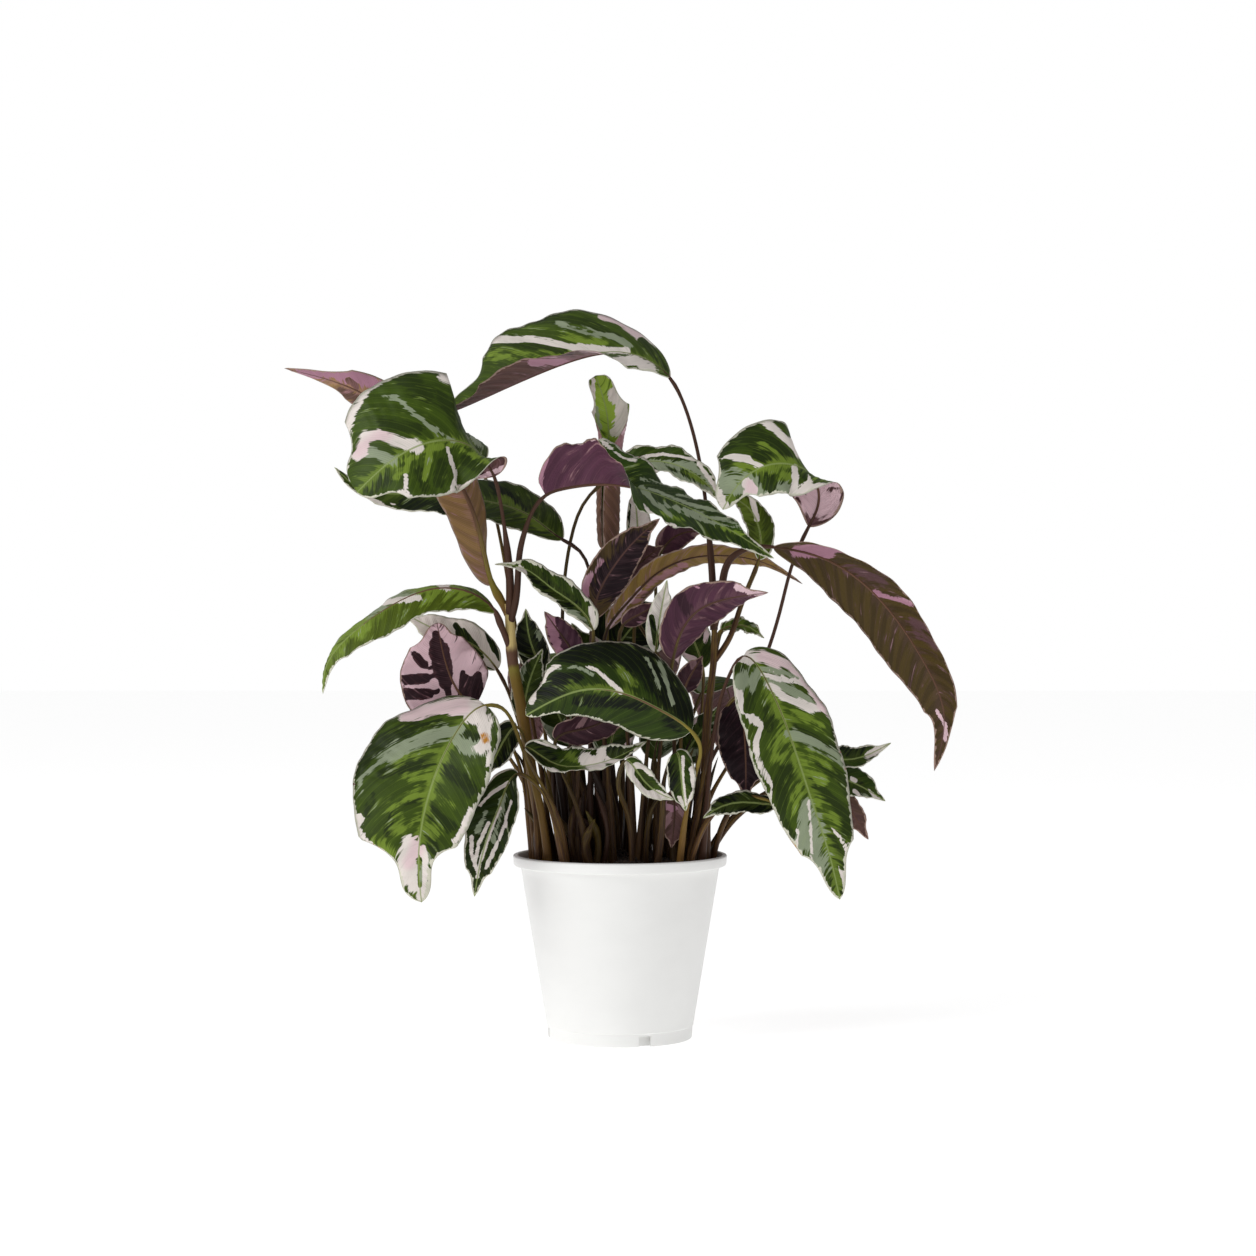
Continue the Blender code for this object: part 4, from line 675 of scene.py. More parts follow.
        "white": ((0.9, (-94, 190), (-85, 185), (-72, 182)),), "dark": ((30, (-84, 200), (-80, 200)),),
        "drawn": (0, 0), "tint": (0.1, 0.62, 0.2),
    },
    "leaf_pink_back": {
        "lilac": ((40, (-45, 280), (-45, 275)),), "white": ((3, (-50, 296), (-44, 272)),), "drawn": (0, 0),
        "tint": (0.0, 0.95, 0.1),
    },
    "leaf_violet_back": {"lilac": ((40, (45, 350), (50, 350)),), "drawn": (0, 3), "tint": (0.0, 1.15, 0.2)},
    "leaf_brown_back": {"lilac": ((40, (15, 335), (20, 335)),), "drawn": (0, 3), "tint": (0.2, 1.1, 0.2)},
    "leaf_knot": {"lilac": ((40, (50, 255), (52, 255)),), "drawn": (0, 2), "tint": (0.1, 0.7, 0.2)},
    "leaf_rolled_dark": {"lilac": ((40, (10, 296), (15, 296)),), "drawn": (1, 1), "tint": (0.1, 0.75, 0.2)},
    "leaf_under_hero": {"lilac": ((40, (-20, 220), (-10, 220)),), "drawn": (1, 1), "tint": (0.1, 0.7, 0.2)},
}

for number, (name, spec) in enumerate(leafShapes.items()):
    spec["seed"] = 100 + number
    # Leaves in the shade of the crown get a low brightness: painted shade.
    shady = {"tint": (0.2, 0.6, 0.3), "lilac": ((300, (0, 200), (0, 250)),)} if "shade_" in name else {}
    spec["paint"] = {**plainPaint, **shady, **leafPaint.get(name, {})}

tones = ("white", "sage", "dark", "light", "burnt", "lilac")

# How finely the leaves are made, and how thick they are.
leafMake = {
    "largeRows": 96, "largeHalf": 13, "smallRows": 60, "smallHalf": 9,
    "thickness": 0.55, "ribRidge": 0.5, "footHeight": 113, "stalkRadius": 1.45, "stalkSides": 12,
    "corrugation": 0.32, "veinGap": 6.5, "crinkle": 0.5, "ribReach": 0.86,
    # Ranges that scale a stalk's colour: darker for the inner stalks, as painted shade, and lighter for the
    # outer ones.
    "innerFoot": 36, "sheathLength": (35, 85), "sheathSwell": (0.5, 1.1), "innerPaintedShade": (0.5, 0.75),
    "outerBright": (0.95, 1.3), "stalkRows": 34, "ribRows": 40, "stemRows": 60, "stemSides": 20,
    "nodeGap": 46, "rowCrowding": 1.15, "halfCrowding": 1.35, "whiteSectors": ((0.2, 0.75), 0.16),
    "sageSectors": ((0.0, 0.5), 0.22),
}


def at(place):
    # A place as the front view shows it, in metres: it moves away from the eye's line as its depth grows.
    across, up, depth = (value * mm for value in place)
    grow = 1 + depth / eye["distance"]
    return np.array((eye["across"] + (across - eye["across"]) * grow, depth,
                     eye["height"] + (up - eye["height"]) * grow))


def sight(points):
    # The across and up that the front view shows points at, in millimetres: the other way round from at.
    grow = 1 + points[..., 1] / eye["distance"]
    across = eye["across"] + (points[..., 0] - eye["across"]) / grow
    up = eye["height"] + (points[..., 2] - eye["height"]) / grow
    return across / mm, up / mm


def unit(vectors):
    return vectors / np.maximum(np.linalg.norm(vectors, axis=-1, keepdims=True), 1e-9)


def smoothLine(points):
    # A natural cubic spline: knots are distances between the points, and place(distance) is a point on it.
    points = np.array(points)
    knots = np.concatenate(([0], np.cumsum(np.linalg.norm(np.diff(points, axis=0), axis=1))))
    gaps = np.diff(knots)
    last = len(points) - 1
    system = np.eye(last + 1)
    turn = np.zeros_like(points)
    for i in range(1, last):
        system[i, i - 1:i + 2] = gaps[i - 1], 2 * (gaps[i - 1] + gaps[i]), gaps[i]
        turn[i] = 6 * ((points[i + 1] - points[i]) / gaps[i] - (points[i] - points[i - 1]) / gaps[i - 1])
    bend = np.linalg.solve(system, turn)

    def place(distance):
        distance = np.atleast_1d(distance)
        i = np.clip(np.searchsorted(knots, distance, side="right") - 1, 0, last - 1)
        gap = gaps[i][:, None]
        before = (knots[i + 1] - distance)[:, None]
        after = (distance - knots[i])[:, None]
        cubic = (bend[i] * before ** 3 + bend[i + 1] * after ** 3) / (6 * gap)
        return (cubic + (points[i] / gap - bend[i] * gap / 6) * before
                + (points[i + 1] / gap - bend[i + 1] * gap / 6) * after)

    return knots, place


def leafLine(spec):
    points = [at(place) for place in (*spec["stalk"], *spec["rib"])]
    if spec["foot"]:
        x, y = spec["foot"]
        points.insert(0, np.array((x * mm, y * mm, leafMake["footHeight"] * mm)))
    knots, place = smoothLine(points)
    return place, knots[-len(spec["rib"])], knots[-1]


def spread(values, t):
    values = np.atleast_1d(values)
    return np.interp(t, np.linspace(0, 1, len(values)), values)


def bladeProfile(t, rise, fall, drip):
    # Half width, 1 at its widest: t to the power rise times (1 - t) to the power fall, less near the tip.
    widest = rise / (rise + fall)
    shape = t ** rise * (1 - t) ** fall / (widest ** rise * (1 - widest) ** fall)
    tip = np.clip((t - drip[0]) / (1 - drip[0]), 0, 1)
    return shape * (1 - drip[1] * np.sin(math.pi * tip ** 0.7))


def bladeFrame(spec, t, place, base, tip):
    # The rib's points, and for each the way along it, the way across it and the way its upper face looks.
    distance = base + t * (tip - base)
    centre = place(distance)
    along = unit(place(distance + 0.5 * mm) - place(distance - 0.5 * mm))
    faces = unit(np.array(spec["faces"], float))
    looks = np.stack([spread(faces[:, axis], t) for axis in range(3)], axis=1)
    normal = unit(looks - (looks * along).sum(axis=1, keepdims=True) * along)
    return centre, along, np.cross(along, normal), normal


def bladeSurface(spec, t, s):
    # Middle surface on the grid of t (base to tip) and s (-1 at the left margin, 1 at the right one).
    # Each side is an arc that starts at angle lift and turns by curl, and the margin waves by a sine of t.
    place, base, tip = leafLine(spec)
    centre, along, side, normal = bladeFrame(spec, t, place, base, tip)
    height, turns, phase = spec["wave"]
    wave = height * mm * np.sin(2 * math.pi * (turns * t + phase))
    fine = leafMake["crinkle"] * mm * np.sin(2 * math.pi * (3.7 * turns * t + 2 * phase))
    sides = []
    for right, part in enumerate((s[s < 0], s[s >= 0])):
        profile = bladeProfile(t, *spec["form"][2 * right:2 * right + 2], spec["paint"]["drip"])
        width = spec["half"][right] * mm * profile
        lift = np.radians(spread(spec["lift"][right], t))[:, None]
        curl = np.radians(spread(spec["curl"][right], t))[:, None]
        curl = np.where(np.abs(curl) < 1e-3, 1e-3, curl)
        a = np.abs(part)[None, :]
        out = width[:, None] * (np.sin(lift + curl * a) - np.sin(lift)) / curl
        rise = width[:, None] * (np.cos(lift) - np.cos(lift + curl * a)) / curl
        rise = rise + profile[:, None] * (wave[:, None] * a ** 2 + fine[:, None] * a ** 5)
        points = (centre[:, None] + side[:, None] * (np.sign(part)[None, :] * out)[..., None]
                  + normal[:, None] * rise[..., None])
        sides.append((points, width[:, None] * a, width[:, None] * (1 - a)))
    points, ribGap, edgeGap = (np.concatenate(both, axis=1) for both in zip(*sides))
    return points, ribGap, edgeGap, tip - base


def gridNormals(points):
    # The cross product of the steps along and across the grid, of length 1.
    down = np.gradient(points, axis=0)
    across = np.gradient(points, axis=1)
    normals = np.cross(down, across)
    normals[0], normals[-1] = normals[1], normals[-2]
    return unit(normals)


def strokeField(strokes, across, up):
    # How much of a tone each point has: 1 on a stroke's line, 0.5 at its reach and none at twice that.
    field = np.zeros(across.shape)
    for reach, *places in strokes:
        for (u0, v0), (u1, v1) in zip(places, places[1:]):
            du, dv = u1 - u0, v1 - v0
            along = np.clip(((across - u0) * du + (up - v0) * dv) / max(du * du + dv * dv, 1e-6), 0, 1)
            gap = np.hypot(across - u0 - along * du, up - v0 - along * dv)
            field = np.maximum(field, np.clip(1 - gap / (2 * reach), 0, 1))
    return field


def sectorField(rng, count, q, s, inner, width):
    # Tones that follow the veins at drawn places: 1 inside a band of vein coordinate on one side.
    field = np.zeros(q.shape)
    for _ in range(count):
        side, low, reach = rng.choice((-1, 1)), rng.uniform(-0.25, 0.8), rng.uniform(*inner)
        high = low + rng.uniform(0.3, 1) * width
        band = 1 / (1 + np.exp(-(q - low) / 0.02)) / (1 + np.exp((q - high) / 0.02))
        band = band / (1 + np.exp(-(side * s - reach) / 0.06))
        field = np.maximum(field, band * rng.uniform(0.6, 1))
    return field


def meshObject(name, vertices, faces, materials, faceMaterial, uv=None, attributes=None, smooth=True):
    mesh = bpy.data.meshes.new(name)
    mesh.from_pydata(vertices, [], faces)
    for material in materials:
        mesh.materials.append(material)
    mesh.polygons.foreach_set("material_index", faceMaterial)
    mesh.polygons.foreach_set("use_smooth", np.full(len(faces), smooth))
    if uv is not None:
        corners = np.empty(len(mesh.loops), np.int32)
        mesh.loops.foreach_get("vertex_index", corners)
        mesh.uv_layers.new(name="UVMap").data.foreach_set("uv", uv[corners].ravel())
    for key, values in (attributes or {}).items():
        layer = mesh.attributes.new(key, "FLOAT_VECTOR", "POINT")
        layer.data.foreach_set("vector", np.asarray(values, np.float32).ravel())
    made = bpy.data.objects.new(name, mesh)
    bpy.context.scene.collection.objects.link(made)
    return made


def ringFaces(rings, size, start):
    # Quads between rings of points that follow each other, each ring closed.
    i, j = np.meshgrid(np.arange(rings - 1), np.arange(size), indexing="ij")
    k = (j + 1) % size
    quads = np.stack((i * size + j, (i + 1) * size + j, (i + 1) * size + k, i * size + k), axis=-1)
    return (quads.reshape(-1, 4) + start).tolist()


def fanFaces(ringStart, size, pole, turned):
    # Triangles from a ring of points to its pole.
    j = np.arange(size)
    k = (j + 1) % size
    first, second = (ringStart + k, ringStart + j) if turned else (ringStart + j, ringStart + k)
    return np.stack((first, second, np.full(size, pole)), axis=-1).tolist()


def bladeShell(spec, rng):
    # A flattened closed tube: each row's ring runs over the upper face from the left margin to the right,
    # then back under the lower face, and both ends close on a pole.
    large = spec["size"] == "large"
    rows, half = (leafMake["largeRows"], leafMake["largeHalf"]) if large else (
        leafMake["smallRows"], leafMake["smallHalf"])
    t = np.linspace(0, 1, rows + 1) ** leafMake["rowCrowding"]
    k = np.linspace(0, 1, half + 1) ** leafMake["halfCrowding"]
    s = np.concatenate((-k[:0:-1], k))
    points, ribGap, edgeGap, length = bladeSurface(spec, t, s)
    relative = np.abs(s)[None, :] * np.ones((rows + 1, 1))
    q = t[:, None] * length - ribGap * (0.45 + 0.5 * relative)
    normals = gridNormals(points)
    looks = bladeFrame(spec, t, *leafLine(spec))[3]
    normals *= np.sign((normals[:, half] * looks).sum(axis=1).mean())
    swell = np.sin(math.pi * np.clip(relative, 0, 1)) ** 0.8
    folds = leafMake["corrugation"] * mm * np.sin(2 * math.pi * q / (leafMake["veinGap"] * mm)) * swell
    points = points + normals * folds[..., None]
    thick = leafMake["thickness"] * mm * np.sqrt(np.clip(1 - relative ** 6, 0, 1)) / 2
    upper = points + normals * thick[..., None]
    lower = points - normals * thick[..., None]
    inner = slice(1, rows)
    ring = np.concatenate((upper[inner], lower[inner, -2:0:-1]), axis=1)
    size = ring.shape[1]
    vertices = np.concatenate((ring.reshape(-1, 3), points[[0, rows], half]))
    poles = len(vertices) - 2, len(vertices) - 1

    def onRing(values):
        both = np.concatenate((values[inner], values[inner, -2:0:-1]), axis=1)
        return np.concatenate((both.ravel(), values[[0, rows], half]))

    faces = ringFaces(rows - 1, size, 0)
    faces += fanFaces(0, size, poles[0], False) + fanFaces((rows - 2) * size, size, poles[1], True)
    column = np.tile(np.arange(size), rows - 2)
    isUnder = np.concatenate((column >= len(s) - 1, np.tile(np.arange(size) >= len(s) - 1, 2)))
    sideGrid = s[None, :] * np.ones((rows + 1, 1))
    tGrid = t[:, None] * np.ones((1, len(s)))
    seed = rng.uniform(0, 90)
    paint = spec["paint"]
    across, up = sight(points)
    fields = {tone: strokeField(paint.get(tone, ()), across, up) for tone in tones}
    drawnWhite, drawnSage = paint["drawn"]
    whites = sectorField(rng, drawnWhite, q / length, sideGrid, *leafMake["whiteSectors"])
    sages = sectorField(rng, drawnSage, q / length, sideGrid, *leafMake["sageSectors"])
    fields["white"] = np.maximum(fields["white"], whites)
    fields["sage"] = np.maximum(fields["sage"], sages)
    steady = np.ones(len(vertices))
    attributes = {
        "veinMap": (onRing(q) / mm, onRing(ribGap) / mm, onRing(seed + 7 * (sideGrid > 0))),
        "marginMap": (onRing(edgeGap) / mm, onRing(np.where(sideGrid > 0, *paint["rim"][::-1])),
                      onRing(tGrid)),
        "toneMap": [onRing(fields[tone]) for tone in ("white", "sage", "dark")],
        "touchMap": [onRing(fields[tone]) for tone in ("light", "burnt", "lilac")],
        "tintMap": [steady * value for value in paint["tint"]],
    }
    attributes = {key: np.stack(value, axis=1) for key, value in attributes.items()}
    uv = np.stack((onRing((sideGrid + 1) / 2), onRing(tGrid)), axis=1)
    return vertices, faces, (isUnder != paint["turned"]).astype(int), uv, attributes


def carriedFrames(points):
    # Two directions square to the path at each point, turned as little as can be from one to the next.
    along = unit(np.gradient(points, axis=0))
    first = unit(np.cross(along[0], (0.2, 0.97, 0.1)))
    frames = [first]
    for way in along[1:]:
        frames.append(unit(frames[-1] - (frames[-1] @ way) * way))
    first = np.array(frames)
    return first, np.cross(along, first)


def tubeShell(points, radii, sides, seed, rise, warm, toneAndPaintedLight=1.0):
    # A circle carried along the path, closed by a pole at each end. rise is how far up the stalk each point
    # is, 0 at its foot and 1 at the blade.
    first, second = carriedFrames(points)
    angle = np.linspace(0, 2 * math.pi, sides, endpoint=False)
    round_ = np.cos(angle)[None, :, None] * first[:, None] + np.sin(angle)[None, :, None] * second[:, None]
    ring = points[:, None] + round_ * radii[:, None, None]
    vertices = np.concatenate((ring.reshape(-1, 3), points[[0, -1]]))
    rows = len(points)
    faces = ringFaces(rows, sides, 0) + fanFaces(0, sides, rows * sides, False)
    faces += fanFaces((rows - 1) * sides, sides, rows * sides + 1, True)
    length = np.concatenate(([0], np.cumsum(np.linalg.norm(np.diff(points, axis=0), axis=1))))
    upAlong = np.concatenate((np.repeat(length, sides), length[[0, -1]]))
    aroundIt = np.concatenate((np.tile(angle, rows), (0, 0))) / (2 * math.pi)
    uv = np.stack((aroundIt, upAlong / 0.1), axis=1)
    turn = 2 * math.pi * aroundIt
    share = np.concatenate((np.repeat(rise, sides), rise[[0, -1]]))
    thick = np.concatenate((np.repeat(radii, sides), radii[[0, -1]]))
    # stalkMap holds the rise, the brightness that scales the colour with its painted shade, and the warmth.
    attributes = {
        "grainMap": np.stack((np.cos(turn) * thick / mm, np.sin(turn) * thick / mm,
                              upAlong / mm * 0.05 + seed), axis=1),
        "stalkMap": np.stack((share, np.full(len(vertices), toneAndPaintedLight), np.full(len(vertices), warm)), axis=1),
    }
    return vertices, faces, uv, attributes


def stalkShell(spec, rng):
    # The stalk, swollen just under the blade, which goes on under the midrib as a fading ridge.
    place, base, tip = leafLine(spec)
    reach = base + leafMake["ribReach"] * (tip - base)
    stalkT = np.linspace(0, base, leafMake["stalkRows"])[:-1]
    ribT = np.linspace(base, reach, leafMake["ribRows"])
    distance = np.concatenate((stalkT, ribT))
    points = place(distance)
    slim = np.clip(distance / base, 0, 1)
    radius = spec["radius"] * leafMake["stalkRadius"] * (1.15 - 0.35 * slim ** 0.7)
    sheath = rng.uniform(*leafMake["sheathLength"]) * mm
    radius *= 1 + rng.uniform(*leafMake["sheathSwell"]) / (1 + np.exp((distance - sheath) / (4 * mm)))
    radius *= 1 + 0.28 * np.exp(-((distance - base + 7 * mm) / (5 * mm)) ** 2)
    past = np.clip((distance - base) / (reach - base), 0, 1)
    radius = np.where(past > 0, radius[len(stalkT)] * (1 - past) ** 0.7 * 0.72 + 0.12, radius) * mm
    t = np.clip((distance - base) / (tip - base), 0, 1)
    normal = bladeFrame(spec, t, place, base, tip)[3]
    sink = np.clip(past * 12, 0, 1)
    points = points - normal * (sink * radius * 0.55)[:, None]
    rise = np.clip(distance / base, 0, 1) + past
    # Stalks rooted in the middle of the clump are drawn darker, as painted shade, and the outer ones
    # lighter.
    inner = spec["foot"] is not None and abs(spec["foot"][0]) < leafMake["innerFoot"]
    toneAndPaintedLight = rng.uniform(*leafMake["innerPaintedShade" if inner else "outerBright"])
    return tubeShell(points, radius, leafMake["stalkSides"], rng.uniform(0, 90), rise,
                     spec["paint"]["stalk"], toneAndPaintedLight)


def joined(name, parts, materials):
    # One object from shells: each is (vertices, faces, material of each face, uv, attributes).
    keys = sorted({key for part in parts for key in part[4]})
    vertices, faces, which, uvs = [], [], [], []
    attributes = {key: [] for key in keys}
    start = 0
    for points, cells, material, uv, given in parts:
        vertices.append(points)
        faces += [[corner + start for corner in cell] for cell in cells]
        which.append(np.asarray(material))
        uvs.append(uv)
        for key in keys:
            attributes[key].append(given.get(key, np.zeros((len(points), 3))))
        start += len(points)
    attributes = {key: np.concatenate(value) for key, value in attributes.items()}
    return meshObject(name, np.concatenate(vertices), faces, materials, np.concatenate(which),
                      np.concatenate(uvs), attributes)


def leafShells(spec):
    rng = np.random.default_rng(spec["seed"])
    blade = bladeShell(spec, rng)
    vertices, faces, uv, attributes = stalkShell(spec, rng)
    return [blade, (vertices, faces, np.full(len(faces), 2), uv, attributes)]


def stemShell(spec, seed):
    # A tube along the stem's line with a swollen node at even gaps. Its share passes 1 at the cream collar.
    x, y = spec["foot"]
    points = [np.array((x * mm, y * mm, leafMake["footHeight"] * mm)),
              *(at(place) for place in spec["line"])]
    knots, place = smoothLine(points)
    distance = np.linspace(0, knots[-1], leafMake["stemRows"])
    radii = np.interp(distance / knots[-1], np.linspace(0, 1, len(spec["radii"])), spec["radii"])
    nodes = 1 + 0.1 * np.exp(-(((distance / mm) % leafMake["nodeGap"] - leafMake["nodeGap"] / 2) / 4) ** 2)
    share = distance / knots[-1]
    share = 0.6 * share + spec["cream"] / (1 + np.exp((0.8 - share) / 0.03))
    vertices, faces, uv, attributes = tubeShell(place(distance), radii * nodes * mm, leafMake["stemSides"],
                                                seed, share, spec["warm"])
    return vertices, faces, np.full(len(faces), 2), uv, attributes


def colour(red, green, blue):
    # A screen colour of 0 to 255 as the linear colour that a shader takes.
    parts = np.array((red, green, blue)) / 255
    return (*np.where(parts <= 0.04045, parts / 12.92, ((parts + 0.055) / 1.055) ** 2.4), 1)


def feed(tree, value, socket):
    if isinstance(value, bpy.types.NodeSocket):
        tree.links.new(value, socket)
    else:
        socket.default_value = value


def calc(tree, kind, *values):
    node = tree.nodes.new("ShaderNodeMath")
    node.operation = kind
    for value, socket in zip(values, node.inputs):
        feed(tree, value, socket)
    return node.outputs[0]


def ramp(tree, value, low, high, start=0.0, end=1.0):
    node = tree.nodes.new("ShaderNodeMapRange")
    node.interpolation_type = "SMOOTHSTEP"
    for given, socket in zip((value, low, high, start, end), node.inputs):
        feed(tree, given, socket)
    return node.outputs[0]


def blend(tree, factor, first, second):
    node = tree.nodes.new("ShaderNodeMix")
    node.data_type = "RGBA"
    feed(tree, factor, node.inputs[0])
    feed(tree, first, node.inputs[6])
    feed(tree, second, node.inputs[7])
    return node.outputs[2]


def shade(tree, value, amount):
    # A colour made lighter or darker by a factor.
    node = tree.nodes.new("ShaderNodeVectorMath")
    node.operation = "SCALE"
    feed(tree, value, node.inputs[0])
    feed(tree, amount, node.inputs[3])
    return node.outputs[0]


def threeOf(tree, name):
    source = tree.nodes.new("ShaderNodeAttribute")
    source.attribute_name = name
    parts = tree.nodes.new("ShaderNodeSeparateXYZ")
    tree.links.new(source.outputs["Vector"], parts.inputs[0])
    return parts.outputs


def noise(tree, places, detail=2.0, roughness=0.5):
    # Noise at a place made of three values, or at a vector.
    node = tree.nodes.new("ShaderNodeTexNoise")
    node.inputs["Scale"].default_value = 1
    node.inputs["Detail"].default_value = detail
    node.inputs["Roughness"].default_value = roughness
    if isinstance(places, tuple):
        place = tree.nodes.new("ShaderNodeCombineXYZ")
        for value, socket in zip(places, place.inputs):
            feed(tree, value, socket)
        tree.links.new(place.outputs[0], node.inputs["Vector"])
    else:
        tree.links.new(places, node.inputs["Vector"])
    return node.outputs[0]


def scaled(tree, value, factor, offset=0.0):
    return calc(tree, "MULTIPLY_ADD", value, factor, offset)


def startMaterial(name, roughness):
    made = bpy.data.materials.new(name)
    made.use_nodes = True
    shader = made.node_tree.nodes["Principled BSDF"]
    shader.inputs["Roughness"].default_value = roughness
    return made, made.node_tree, shader


def bumped(tree, shader, height, strength, distance):
    bump = tree.nodes.new("ShaderNodeBump")
    bump.inputs["Strength"].default_value = strength
    bump.inputs["Distance"].default_value = distance
    tree.links.new(height, bump.inputs["Height"])
    tree.links.new(bump.outputs[0], shader.inputs["Normal"])


# Leaf colours, from the darkest green band to the white that runs along the veins, and how strong the
# bands and the fine veins are. palest is how much of the dark is left on the brightest leaves.
upperLooks = {
    "dark": (12, 22, 6), "green": (44, 66, 12), "warm": (74, 88, 18), "light": (112, 134, 46),
    "sage": (148, 158, 132), "white": (228, 219, 212), "rib": (140, 156, 92), "burnt": (190, 128, 36),
    "lilac": (224, 200, 202), "rim": (210, 208, 190), "roughness": 0.44, "veins": 0.14, "shine": 0.14,
    "bands": 0.34, "palest": 0.58,
}
lowerLooks = {
    "dark": (34, 17, 24), "green": (74, 42, 58), "warm": (94, 76, 36), "light": (118, 84, 90),
    "sage": (144, 112, 116), "white": (222, 190, 198), "rib": (92, 64, 58), "burnt": (160, 104, 46),
    "lilac": (168, 122, 140), "rim": (160, 134, 122), "roughness": 0.5, "veins": 0.1, "shine": 0.14,
    "bands": 0.3, "palest": 0.75,
}

# Noise on a leaf: waves to a millimetre along the midrib and away from it, a shift, detail and roughness.
# It's long away from the midrib and short along it, so it runs as the veins do.
leafNoises = {
    "streaks": (0.26, 0.035, 0, 3.0, 0.55), "fine": (1.0, 0.06, 0, 2.0, 0.6),
    "wide": (0.07, 0.03, 20, 2.0, 0.5), "patchy": (0.11, 0.13, 40, 2.0, 0.5),
}

# How a tone is laid on: how far noise breaks its edge, the strength where it begins and where it's full.
toneCuts = {
    "dark": (0.24, 0.32, 0.6), "light": (0.6, 0.3, 0.85), "sage": (0.42, 0.4, 0.56),
    "white": (0.22, 0.4, 0.52),
}

# What the two faces share. A cut is (begins, full), a slope is (factor, offset). Distances are millimetres.
finish = {
    "broken": {"streaks": 0.6, "fine": 0.4, "patchy": 0.5}, "brokenCut": (0.3, 0.7),
    "bandWaves": 0.52, "bandSway": 7.0, "bandGrain": (0.8, -0.4), "bandCut": (-0.5, 0.6),
    "brightCut": (0.75, 1.2), "featherCut": (0.35, 0.75), "featherSlope": (17.0, 1.5),
    "featherFade": (0.9, 0.25), "lightMost": 0.9, "threadPhase": 1.5, "threadCut": (0.86, 1.0),
    "sageMost": 0.88, "lilacSlope": (0.5, -0.25), "lilacCut": (0.2, 0.8), "speckCut": (0.56, 0.8),
    "speckMost": 0.45, "darkOverWhite": 0.8, "darkCut": (0.3, 0.6), "rimSlope": (4.2, -1.1),
    "rimCut": (0.35, -0.1), "ribSlope": (-0.5, 0.85), "ribCut": (0.35, -0.2), "ribMost": 0.8,
    "burntFrom": (0.05, 0.4), "burntBreak": 0.3, "burntCut": (0.25, 0.7), "cloudSlope": (0.5, 0.72),
    "gloss": 0.18, "ridgeLength": 1.6, "ridgeHeight": 0.3, "bump": (0.35, 0.0004),
}


def leafNoise(tree, kind, q, gap, seed):
    along, away, shift, detail, roughness = leafNoises[kind]
    where = (scaled(tree, q, along), scaled(tree, gap, away), scaled(tree, seed, 1.0, shift))
    return noise(tree, where, detail, roughness)


def cutTone(tree, kind, value, broken, most=1.0):
    # A tone plus its noise, cut off sharply, gives flame-edged patches.
    depth, low, high = toneCuts[kind]
    return ramp(tree, calc(tree, "ADD", value, scaled(tree, broken, depth)), low, high, 0.0, most)


